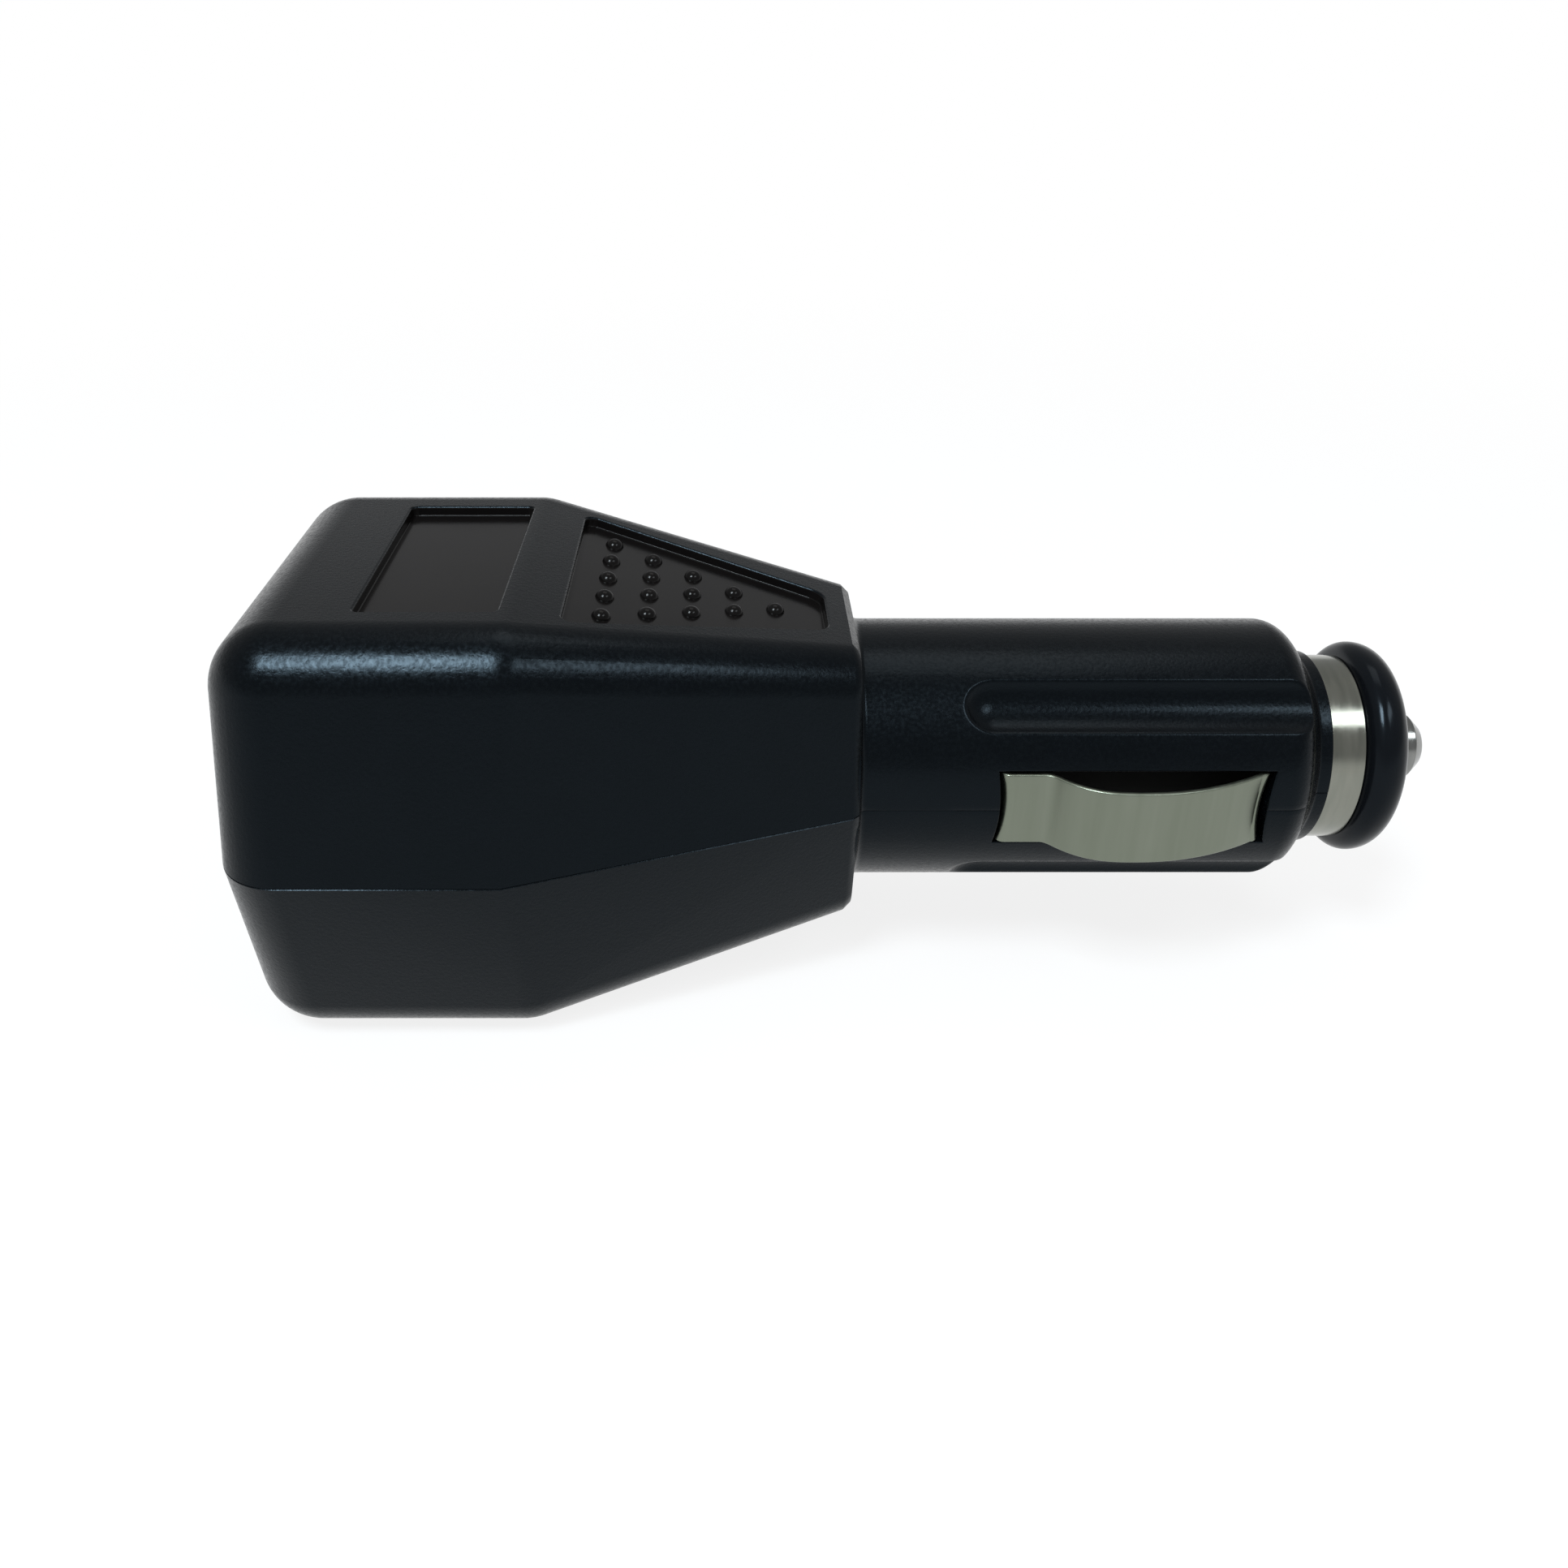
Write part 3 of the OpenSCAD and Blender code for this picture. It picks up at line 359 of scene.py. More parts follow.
def circle(centre, r, axes, steps=96):
    """Points of a circle in the plane of two axes."""
    u, v = axes
    return [tuple(centre[k] + r * (math.cos(a) * u[k] + math.sin(a) * v[k]) for k in range(3))
            for a in (2 * math.pi * i / steps for i in range(steps))]


X, Y, Z = (1, 0, 0), (0, 1, 0), (0, 0, 1)


def head_points(inset, low, foot):
    """Points of half the head, drawn in by inset; its lower edge is at low, with a foot of that height."""
    points = []
    big_y = edge_y(HEAD_W / 2, HEAD_H / 2, HEAD_R)
    nose_y = edge_y(NOSE_W / 2, NOSE_H / 2, NOSE_R)
    r = HEAD_R - inset
    steps = 24
    for side in (-1, 1):
        for x in (-HEAD_LEN + HEAD_R, -TAPER_LEN):
            for i in range(steps):
                lat = math.pi / 2 * i / steps
                centre = (x, side * big_y, HEAD_H / 2 - HEAD_R + r * math.sin(lat))
                points += circle(centre, r * math.cos(lat), (X, Y))
            points.append((x, side * big_y, HEAD_H / 2 - inset))
        for x, nose_r in ((-NOSE_CHAMFER, NOSE_R - inset), (0, NOSE_R - inset - NOSE_CHAMFER)):
            points += circle((x, side * nose_y, NOSE_H / 2 - NOSE_R), nose_r, (Y, Z))
        for z, step_in in ((low + foot, 0), (low, foot)):
            drawn_in = (inset + step_in) / math.cos(SIDE_LEAN)
            rear_r = r - step_in
            centre = (-HEAD_LEN + HEAD_R, side * (HEAD_W / 2 - drawn_in - rear_r), z)
            points += circle(centre, rear_r, (X, Y))
            points.append((-TAPER_LEN, side * (HEAD_W / 2 - drawn_in), z))
            points.append((-NOSE_CHAMFER, side * (NOSE_W / 2 - drawn_in), z))
            points.append((-EPS / 2, side * (NOSE_W / 2 - drawn_in - NOSE_CHAMFER), z))
    return points


def slope():
    """Frame of the tapered face: its angle, and the matrix that puts a plan drawn at z = 0 onto it."""
    low, high = Vector((-NOSE_CHAMFER, NOSE_H / 2)), Vector((-TAPER_LEN, HEAD_H / 2 - HEAD_R))
    run, rise = low.x - high.x, high.y - low.y
    angle = math.atan2(rise, run) + math.asin(HEAD_R / math.hypot(run, rise))
    front_z = NOSE_H / 2 - NOSE_CHAMFER * math.tan(angle)
    return Matrix.Translation((0, 0, front_z)) @ Matrix.Rotation(angle, 4, "Y")


SLOPE = slope()


def rounded_plan(circles, grow=0.0, steps=10):
    """Outline round circles (x, y, r) given anticlockwise, each radius grown by grow."""
    turns = []
    for (x1, y1, r1), (x2, y2, r2) in zip(circles, circles[1:] + circles[:1]):
        away = math.atan2(y2 - y1, x2 - x1)
        turns.append(away - math.acos((r1 - r2) / math.hypot(x2 - x1, y2 - y1)))
    outline = []
    for i, (x, y, r) in enumerate(circles):
        start, end = turns[i - 1], turns[i]
        while end < start:
            end += 2 * math.pi
        for k in range(steps + 1):
            a = start + (end - start) * k / steps
            outline.append((x + (r + grow) * math.cos(a), y + (r + grow) * math.sin(a)))
    return outline


def four_corners(low_x, high_x, low_half, high_half, low_r, high_r):
    """Corner circles of a plan with two straight ends, low_half and high_half from the middle line."""
    return [(high_x - high_r, -high_half + high_r, high_r), (high_x - high_r, high_half - high_r, high_r),
            (low_x + low_r, low_half - low_r, low_r), (low_x + low_r, -low_half + low_r, low_r)]


GRIP_PLAN = four_corners(-GRIP_REAR, -GRIP_FRONT, GRIP_REAR_W / 2, GRIP_FRONT_W / 2,
                         GRIP_REAR_R, GRIP_FRONT_R)
BADGE_LOW = -HEAD_LEN + BADGE_INSET
BADGE_PLAN = four_corners(BADGE_LOW, BADGE_LOW + BADGE_LEN, BADGE_W / 2, BADGE_W / 2, BADGE_R, BADGE_R)


def recess_cutter(plan, placing):
    """Cutter of a recess with a rounded lip, upright walls and a small fillet round the floor."""
    clear, lead, lip_turn, lip_steps, floor_steps = LIP_R + 0.02, 0.05, 78, 6, 4
    loops = [(clear, PAST), (clear, lead)]
    for k in range(lip_steps + 1):
        t = math.radians(lip_turn * (1 - k / lip_steps))
        loops.append((LIP_R * (1 - math.cos(t)), -LIP_R * (1 - math.sin(t))))
    for k in range(floor_steps + 1):
        t = math.pi / 2 * k / floor_steps
        loops.append((-FLOOR_R * (1 - math.cos(t)), -RECESS_DEPTH + FLOOR_R * (1 - math.sin(t))))
    cutter = loft("cutter", [[(x, y, z) for x, y in rounded_plan(plan, grow)] for grow, z in loops])
    cutter.data.transform(placing)
    return cutter


def bumps():
    """The domes on the floor of the grip recess, as one mesh of separate balls sunk in the floor."""
    ball_r = (BUMP_D ** 2 / 4 + BUMP_H ** 2) / (2 * BUMP_H)
    around, up, sunk = 32, 10, 12
    bm = bmesh.new()
    for row in range(BUMP_ROWS):
        count = BUMP_ROWS - row
        for i in range(count):
            x = row * BUMP_STEP - BUMP_FIRST
            y = (i - (count - 1) / 2) * BUMP_PITCH
            z = BUMP_H - RECESS_DEPTH - ball_r
            rings = []
            for k in range(up):
                lat = math.radians((90 + sunk) * k / up - sunk)
                centre = (x, y, z + ball_r * math.sin(lat))
                ring = circle(centre, ball_r * math.cos(lat), (X, Y), around)
                rings.append([bm.verts.new(p) for p in ring])
            top = bm.verts.new((x, y, z + ball_r))
            for low, high in zip(rings, rings[1:]):
                for j in range(around):
                    bm.faces.new((low[j], low[(j + 1) % around], high[(j + 1) % around], high[j]))
            for j in range(around):
                bm.faces.new((rings[-1][j], rings[-1][(j + 1) % around], top))
            bm.faces.new(list(reversed(rings[0])))
    made = new_object("bumps", bm)
    made.data.transform(SLOPE)
    return made


def smooth_min(a, b, k):
    """The lower of two values, eased over k where they are about the same."""
    h = max(k - abs(a - b), 0) / k
    return min(a, b) - h * h * k / 4


FLUTE_SUNK = FLUTE_R - FLUTE_DEPTH
FLUTE_HALF_END = math.sqrt(FLUTE_R ** 2 - FLUTE_SUNK ** 2)
FLUTE_X = FLUTE_START + FLUTE_HALF_END
NOSE_X = BARREL_LEN - BARREL_NOSE
BEND_X = NOSE_X + SHOULDER_R * math.sin(SHOULDER_ANGLE)
BEND_R = BARREL_R - SHOULDER_R * (1 - math.cos(SHOULDER_ANGLE))


def slot_ends(z):
    """Rear and front end of a contact slot at height z; both bulge in towards the strip's hollowed ends."""
    share = max(0.0, 1 - (z / SLOT_HALF_W) ** 2)
    return SLOT_REAR + SLOT_BULGE * share, SLOT_FRONT - END_HOLLOW * share


def barrel_radius(x, a):
    """Radius of the barrel at x, at angle a from the contacts' plane."""
    if x < ROOT_FILLET:
        lift = max(x, ROOT_FILLET * ROOT_START)
        r = BARREL_R + ROOT_FILLET - math.sqrt(ROOT_FILLET ** 2 - (ROOT_FILLET - lift) ** 2)
    elif x > BEND_X:
        r = -smooth_min((x - BEND_X) * math.tan(SHOULDER_ANGLE) - BEND_R, -NECK_R, NECK_EASE)
        edge = max(0.0, x - BARREL_LEN + CREASE_R)
        r -= CREASE_R - math.sqrt(CREASE_R ** 2 - min(edge, 0.99 * CREASE_R) ** 2)
    elif x > NOSE_X:
        r = BARREL_R - SHOULDER_R + math.sqrt(SHOULDER_R ** 2 - (x - NOSE_X) ** 2)
    else:
        r = BARREL_R
    for centre in FLUTE_ANGLES:
        reach = FLUTE_R ** 2 - max(0.0, FLUTE_X - x) ** 2
        far = BARREL_R + FLUTE_SUNK
        across = far * math.sin(a - centre)
        if abs(a - centre) < math.pi / 4 and reach > across ** 2:
            r = smooth_min(r, far * math.cos(a - centre) - math.sqrt(reach - across ** 2), FLUTE_EASE)
    z = r * math.sin(a)
    if math.cos(a) ** 2 > 0.5:
        rear, front = slot_ends(z)
        out_x = max(rear - x, x - front, 0)
        gap = math.hypot(out_x, max(z - SLOT_HALF_W, 0))
        if gap < CREASE_R:
            r -= CREASE_R - math.sqrt(CREASE_R ** 2 - (CREASE_R - gap) ** 2)
    return r - max(0.0, BARREL_PARTING - z) * (1 if x > 0 else 0)


def stations(*spans):
    """Sorted places made of evenly divided spans, each (start, end, parts)."""
    places = {round(a + (b - a) * i / n, 5) for a, b, n in spans for i in range(n + 1)}
    return sorted(places)


def barrel_half():
    """Upper half of the barrel, sunk 2 mm into the head; its rows are close where the surface bends."""
    xs = stations((-2, -2, 1), (ROOT_FILLET * ROOT_START, ROOT_FILLET, 9),
                  (ROOT_FILLET, FLUTE_START - 0.4, 6), (FLUTE_START - 0.4, FLUTE_START + 2.3, 30),
                  (SLOT_REAR - 0.2, SLOT_REAR + 0.3, 14), (SLOT_REAR + 0.45, SLOT_REAR + 0.85, 2),
                  (12, 31, 14), (SLOT_FRONT - 0.45, SLOT_FRONT + 0.15, 16),
                  (SLOT_FRONT + 0.3, NOSE_X - 0.1, 3), (NOSE_X, BARREL_LEN - 0.6, 44),
                  (BARREL_LEN - 0.5, BARREL_LEN - CREASE_R, 2), (BARREL_LEN - 0.08, BARREL_LEN, 5))
    slot_a = math.degrees(math.asin(SLOT_HALF_W / BARREL_R))
    first = math.degrees(math.asin(2 * BARREL_PARTING / BARREL_R))
    half = stations((0, first, 1), (2.5, 16, 6), (16.8, slot_a - 0.2, 3), (slot_a, slot_a + 1.0, 8),
                    (slot_a + 1.6, 29.5, 5), (30, 60, 60), (62, 90, 12))
    turns = [math.radians(a) for a in half + [180 - a for a in reversed(half[:-1])]]
    bm = bmesh.new()
    rows = []
    for x in xs:
        row = []
        for a in turns:
            r = barrel_radius(x, a)
            row.append(bm.verts.new((x, r * math.cos(a), max(0.0, r * math.sin(a)))))
        rows.append(row)
    for low, high in zip(rows, rows[1:]):
        for i in range(len(turns) - 1):
            bm.faces.new((low[i], low[i + 1], high[i + 1], high[i]))
        bm.faces.new((low[0], high[0], high[-1], low[-1]))
    bm.faces.new(rows[0])
    bm.faces.new(list(reversed(rows[-1])))
    return new_object("barrel", bm)


def outer_half():
    """Outside of the upper housing, still solid."""
    half = hull("half", head_points(0, 0, PARTING))
    cut(half, recess_cutter(BADGE_PLAN, Matrix.Translation((0, 0, HEAD_H / 2))),
        recess_cutter(GRIP_PLAN, SLOPE))
    join(half, bumps(), barrel_half())
    return half


def hollow(mirrored, pillars):
    """The head's hollow, less the pillars (x, y, r, lowest) that stand in it."""
    made = hull("cutter", head_points(WALL, -EPS, EPS))
    cut(made, block((-NOSE_WALL, -HEAD_W, -PAST), (HEAD_W, HEAD_W, HEAD_H)))
    cut(made, block((-2 * HEAD_LEN, -HEAD_W, -PAST), (-HEAD_LEN + WALL, HEAD_W, HEAD_H)))
    for x, y, r, lowest in pillars:
        cut(made, upright(x, y, lowest, HEAD_H, r))
    if mirrored:
        flip(made)
    return made


def flip(piece):
    """Turns a mesh over to the other side of the parting plane."""
    piece.data.transform(Matrix.Scale(-1, 4, Z))
    piece.data.flip_normals()


PORT_PLAN = [(y, z, PORT_R) for y, z in (
    (PORT_W / 2 - PORT_R, -PORT_H / 2 + PORT_R), (PORT_W / 2 - PORT_R, PORT_H / 2 - PORT_R),
    (-PORT_W / 2 + PORT_R, PORT_H / 2 - PORT_R), (-PORT_W / 2 + PORT_R, -PORT_H / 2 + PORT_R))]


def port_loop(grow, x):
    """The port's outline at x, grown by grow."""
    return [(x, y, z) for y, z in rounded_plan(PORT_PLAN, grow, 8)]


def slot_cutter(side):
    """Cutter of a side contact's slot."""
    heights = [SLOT_HALF_W * (k / 8 - 1) for k in range(17)]
    plan = [(slot_ends(z)[1], z) for z in heights]
    plan += [(slot_ends(z)[0], z) for z in reversed(heights)]
    return loft("cutter", [[(x, side * y, z) for x, z in plan] for y in (SEAT_Y - PAST, 2 * BARREL_R)])


def inner_cuts(shell):
    """Cuts the bore, seats, grooves, pockets, slots and the port's flared mouth into a shell."""
    bore = bar(0, BULKHEAD_REAR, BORE_R)
    cut(bore, bar(-PAST, GUIDE_LEN, GUIDE_BORE_R + GUIDE_WALL))
    cut(shell, bore, bar(SEAT_FRONT - EPS, GROOVE_REAR + EPS, GUIDE_BORE_R),
        bar(GROOVE_REAR, GROOVE_FRONT, RING_FLANGE_R + FIT),
        bar(GROOVE_FRONT - EPS, BARREL_LEN + PAST, RING_R + FIT))
    seat_low = SEAT_HALF + TOUCH
    cut(shell, block((SEAT_FRONT - SEAT_T - TOUCH, -seat_low, -seat_low), (SEAT_FRONT, seat_low, seat_low)))
    tail = SEAT_TAIL_W / 2 + TOUCH
    cut(shell, block((BOARD_FRONT - 3 * PAST, -tail, BOARD_TOP - TOUCH),
                     (SEAT_FRONT, tail, BOARD_TOP + SEAT_T + TOUCH)))
    for side in (-1, 1):
        def sided(low, high):
            ys = sorted((side * low[1], side * high[1]))
            return block((low[0], ys[0], low[2]), (high[0], ys[1], high[2]))
        cut(shell,
            sided((POCKET_REAR, 0, -POCKET_HALF_W), (BULKHEAD_REAR, SEAT_Y, POCKET_HALF_W)),
            slot_cutter(side),
            sided((-NOSE_WALL - PAST, STRAP_Y - STRAP_T / 2 - TOUCH, BOARD_TOP - TOUCH),
                  (PAST, STRAP_Y + STRAP_T / 2 + TOUCH, BOARD_TOP + STRAP_H + TOUCH)))
    lead, mouth_turn, steps = 0.02, 80, 4
    loops = [port_loop(TOUCH + MOUTH_R, x) for x in (-HEAD_LEN - PAST, -HEAD_LEN - lead)]
    for k in range(steps + 1):
        t = math.radians(mouth_turn * (1 - k / steps))
        wider, deeper = MOUTH_R * (1 - math.cos(t)), MOUTH_R * (1 - math.sin(t))
        loops.append(port_loop(TOUCH + wider, -HEAD_LEN + deeper))
    loops.append(port_loop(TOUCH, -HEAD_LEN + WALL + 2 * PAST))
    cut(shell, loft("cutter", loops))


def mark_recesses(shell, mirrored):
    """Gives the recess floors, their walls and the domes the smooth finish."""
    back = SLOPE.inverted()
    margin, deepest = 0.03, -0.9
    grip = rounded_plan(GRIP_PLAN, margin)
    badge = rounded_plan(BADGE_PLAN, margin)

    def inside(point, outline):
        crossings = 0
        for (x1, y1), (x2, y2) in zip(outline, outline[1:] + outline[:1]):
            if (y1 > point.y) != (y2 > point.y):
                crossings += point.x < x1 + (point.y - y1) * (x2 - x1) / (y2 - y1)
        return crossings % 2 == 1

    for face in shell.data.polygons:
        centre = face.center.copy()
        if mirrored:
            centre.z = -centre.z
        on_slope = back @ centre
        smooth = deepest < on_slope.z < -margin and inside(on_slope, grip)
        smooth = smooth or (deepest < centre.z - HEAD_H / 2 < -margin and inside(centre, badge))
        face.material_index = 1 if smooth else 0


def build_housings():
    """Both shells: the lower one is the upper one's outside turned over, with its own posts and holes."""
    upper = outer_half()
    lower = upper.copy()
    lower.data = upper.data.copy()
    bpy.context.scene.collection.objects.link(lower)
    flip(lower)
    bosses = [(x, y, BOSS_R, -1) for x, y in PEG_PLACES]
    cut(upper, hollow(False, bosses + [(x, y, POST_R, PORT_H / 2) for x, y in PORT_POSTS]))
    cut(lower, hollow(True, bosses + [(x, y, POST_R, -BOARD_BOTTOM) for x, y in POST_PLACES]))
    for x, y in PEG_PLACES:
        join(upper, upright(x, y, -PEG_LEN, PAST, PEG_R))
        cut(lower, upright(x, y, -PEG_LEN - PEG_SPARE, PAST, PEG_R + TOUCH))
    for shell, mirrored, name, node in ((upper, False, "upper_shell", "upper_housing"),
                                        (lower, True, "lower_shell", "lower_housing")):
        inner_cuts(shell)
        shell.data.materials.clear()
        shell.data.materials.append(GRAINED)
        shell.data.materials.append(SMOOTH)
        mark_recesses(shell, mirrored)
        marks = [face.material_index for face in shell.data.polygons]
        dress(shell, name, "housing", [GRAINED, SMOOTH], [node])
        shell.data.polygons.foreach_set("material_index", marks)


# Side contacts: one bent strip each, on its wide plate

def bow_height(x):
    """Height of the strip's outer face at x: flat, then up to the crest, then down to the tip."""
    if x < BOW_START:
        return FLAT_Y
    if x < BOW_CREST:
        t = (x - BOW_START) / (BOW_CREST - BOW_START)
        return FLAT_Y + (CREST_Y - FLAT_Y) * (1 - (1 - t) ** 3)
    t = (x - BOW_CREST) / (CONTACT_END - BOW_CREST)
    return CREST_Y - (CREST_Y - TIP_Y) * t * t


def soft_bow(x):
    """Height of the strip's middle, with the bends eased over a short stretch."""
    reach, count = 0.45, 9
    near = [bow_height(x + reach * (2 * i / (count - 1) - 1)) for i in range(count)]
    return sum(near) / count - CONTACT_T / 2


def strip_path():
    """Middle line of the strip, from its foot on the plate over the bow to its other foot."""
    bend, rear_leg, front_leg, bend_steps, count = 0.5, 0.6, 0.3, 6, 90
    foot = SEAT_Y - PLATE_T / 2
    rear, front = CONTACT_START + CONTACT_T / 2, CONTACT_END - CONTACT_T / 2
    flat, tip = soft_bow(rear + bend), soft_bow(front - bend)
    turns = [math.pi / 2 * k / bend_steps for k in range(bend_steps + 1)]
    path = [(rear, foot), (rear, foot + rear_leg), (rear, flat - bend)]
    path += [(rear + bend * (1 - math.cos(t)), flat - bend * (1 - math.sin(t))) for t in turns[1:]]
    path += [(x, soft_bow(x)) for x in
             (rear + bend + (front - rear - 2 * bend) * k / count for k in range(1, count))]
    path += [(front - bend * (1 - math.sin(t)), tip - bend * (1 - math.cos(t))) for t in turns]
    return path + [(front, foot + front_leg), (front, foot)]


def contact(side):
    """Bent strip with rounded edges and slightly hollowed ends, standing on its plate."""
    path = strip_path()
    half_w, half_t = CONTACT_W / 2, CONTACT_T / 2
    corners = ((half_w, half_t), (-half_w, half_t), (-half_w, -half_t), (half_w, -half_t))
    section = rounded_profile([(z, n, STRIP_EDGE_R) for z, n in corners], 4)
    across = []
    for (z1, n1), (z2, n2) in zip(section, section[1:] + section[:1]):
        parts = 10 if abs(z2 - z1) > 1 else 1
        across += [(z1 + (z2 - z1) * k / parts, n1 + (n2 - n1) * k / parts) for k in range(parts)]
    loops = []
    for i, (x, y) in enumerate(path):
        ahead, behind = path[min(i + 1, len(path) - 1)], path[max(i - 1, 0)]
        run = Vector((ahead[0] - behind[0], ahead[1] - behind[1])).normalized()
        from_rear = max(0.0, 1 - (x - CONTACT_START) / HOLLOW_LEN)
        from_front = max(0.0, 1 - (CONTACT_END - x) / HOLLOW_LEN)
        loop = []
        for z, n in across:
            hollow_in = END_HOLLOW * (1 - (z / half_w) ** 2)
            px = x - run.y * n + hollow_in * (from_rear ** HOLLOW_POWER - from_front ** HOLLOW_POWER)
            loop.append((px, side * (y + run.x * n), z))
        loops.append(loop)
    strip = loft("contact", loops)
    plate = block((PLATE_REAR, SEAT_Y - PLATE_T, -PLATE_HALF_W),
                  (PLATE_FRONT, SEAT_Y, PLATE_HALF_W))
    plate.data.transform(Matrix.Scale(side, 4, Y))
    if side < 0:
        plate.data.flip_normals()
    join(strip, plate)
    return strip


def paint_plate_shade(mesh):
    """Gives the wide plate inside the barrel a near-black colour: painted shade, standing for the shadow
    inside the barrel.
    """
    for face in mesh.polygons:
        face.material_index = 1 if abs(face.center.y) < (SEAT_Y + EPS) * MM else 0


# Tip: ring, collar and pin are turned parts

def build_tip():
    """Ring, collar and pin; the third number of each corner is its edge radius."""
    ring = revolve("ring", rounded_profile([
        (RING_REAR, RING_BORE_R, 0.1), (RING_REAR, RING_FLANGE_R, 0.1),
        (RING_REAR + RING_FLANGE_T, RING_FLANGE_R, 0.1), (RING_REAR + RING_FLANGE_T, RING_R, 0.05),
        (RING_FRONT, RING_R, 0.15), (RING_FRONT, RING_BORE_R, 0.1)]))
    dress(ring, "nickel_ring", "housing", [RING], ["retaining_ring"])

    rim_x, mid_r = RING_FRONT + COLLAR_REAR_R, COLLAR_R - COLLAR_EDGE_R
    dx, dr = COLLAR_FRONT - rim_x, COLLAR_FACE_R - mid_r
    lean = math.atan2(dx, dr) - math.acos(COLLAR_EDGE_R / math.hypot(dx, dr))
    steps = 24
    profile = [(RING_REAR, COLLAR_BORE_R), (RING_REAR, COLLAR_SLEEVE_R), (RING_FRONT, COLLAR_SLEEVE_R)]
    for r, start, end in ((COLLAR_REAR_R, -math.pi / 2, 0), (COLLAR_EDGE_R, 0, lean)):
        for k in range(steps + 1):
            a = start + (end - start) * k / steps
            profile.append((rim_x + r * math.sin(a), COLLAR_R - r + r * math.cos(a)))
    profile = list(dict.fromkeys(profile))
    face = rounded_profile([(*profile[-1], 0), (COLLAR_FRONT, COLLAR_FACE_R, 0.35),
                            (COLLAR_FRONT, PIN_R + FIT, 0.12), (PIN_FLANGE_FRONT, PIN_R + FIT, 0),
                            (PIN_FLANGE_FRONT, COLLAR_BORE_R, 0)])
    collar = revolve("collar", profile + face[1:])
    dress(collar, "black_collar", "housing", [COLLAR], ["tip_collar"])

    pin = revolve("pin", rounded_profile([
        (PIN_FLANGE_REAR, 0, 0), (PIN_FLANGE_REAR, PIN_FLANGE_R, 0.15),
        (PIN_FLANGE_FRONT, PIN_FLANGE_R, 0.15), (PIN_FLANGE_FRONT, PIN_R, 0),
        (PIN_FRONT - PIN_TAPER, PIN_R, 0.15), (PIN_FRONT, PIN_END_R, 0.15), (PIN_FRONT, 0, 0)]), 96)
    dress(pin, "contact_pin", "plunger", [PIN], ["centre_pin"])


# Fuse spring: a wire wound between its seat and the fuse, which shortens as the pin is pressed

def build_fuse_spring():
    """Round wire between the ends of its CAD node."""
    low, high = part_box("fuse_spring")
    start, end = low[0] / MM + SPRING_WIRE_R, high[0] / MM - SPRING_WIRE_R
    sides, per_turn = 16, 48
    count = int(SPRING_TURNS * per_turn)
    loops = []
    for i in range(count + 1):
        a = 2 * math.pi * i / per_turn
        loop = []
        for k in range(sides):
            b = 2 * math.pi * k / sides
            r = SPRING_R + SPRING_WIRE_R * math.cos(b)
            x = start + (end - start) * i / count + SPRING_WIRE_R * math.sin(b)
            loop.append((x, r * math.cos(a), r * math.sin(a)))
        loops.append(loop)
    spring = dress(loft("spring", loops), "fuse_coil_spring", "housing", [SPRING],
                   ["fuse_spring"])
    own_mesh(spring)


# Charging port: a drawn sheet shell with a flared mouth and two springs

def port_spring(y):
    """Bent spring on the shell's floor, which grips a plug."""
    start, length, half_w, thick, rise, power, count = PORT_REAR + 1.6, 6.4, 0.8, 0.22, 0.55, 1.4, 14
    foot = -PORT_H / 2 + PORT_SHEET - FIT
    loops = []
    for k in range(count + 1):
        x = start + length * k / count
        z = foot + rise * math.sin(math.pi * k / count) ** power
        loops.append([(x, y - half_w, z), (x, y + half_w, z),
                      (x, y + half_w, z + thick), (x, y - half_w, z + thick)])
    return loft("spring", loops)


def build_port():
    """Sheet shell as a ring of outlines, each (x behind the mouth, growth), with rounded mouth edges."""
    length, spring_y = PORT_FRONT - PORT_REAR, 2.9
    outside = ((length, 0), (0.14, 0), (0.06, -0.06), (0, -0.12))
    inside = ((0, 0.12 - PORT_SHEET), (0.12, -PORT_SHEET), (length, -PORT_SHEET))
    loops = [port_loop(grow, PORT_REAR + x) for x, grow in outside + inside]
    shell = loft("port", loops, ring=True)
    for y in (-spring_y, spring_y):
        join(shell, port_spring(y))
    dress(shell, "port_sheet_shell", "housing", [TIN], ["port_shell"])


build_housings()
for side, body, node in ((1, "left_leaf", "left_contact"), (-1, "right_leaf", "right_contact")):
    leaf = dress(contact(side), body + "_spring", body, [LEAF, PLATE], [node])
    # The plate's near-black colour is painted shade
    paint_plate_shade(leaf.data)
build_tip()
build_fuse_spring()
build_port()

# CAD nodes that stay as they are get finishes of their own
BRASS = surface("brass_sheet", (0.52, 0.36, 0.14), (0.62, 0.44, 0.20), metallic=1.0, rough=(0.25, 0.38),
                grain_mm=0.2, depth_mm=0.002, patch_mm=2)
SILVERED = surface("silvered_fuse_cap", (0.62, 0.61, 0.57), (0.72, 0.71, 0.68), metallic=1.0,
                   rough=(0.18, 0.30), grain_mm=0.2, depth_mm=0.001, patch_mm=2)
GLASS = surface("fuse_glass", (0.80, 0.86, 0.84), (0.86, 0.90, 0.89), rough=(0.03, 0.06), grain_mm=1.0,
                depth_mm=0.0005, patch_mm=3, alpha=0.25)
WIRE = surface("fuse_wire", (0.55, 0.42, 0.25), (0.65, 0.52, 0.33), metallic=1.0, rough=(0.25, 0.40),
               grain_mm=0.2, depth_mm=0.001, patch_mm=1)
BOARD = surface("green_solder_mask", (0.012, 0.085, 0.030), (0.020, 0.120, 0.045), rough=(0.25, 0.38),
                grain_mm=0.35, depth_mm=0.004, patch_mm=2.5, coat=0.3)
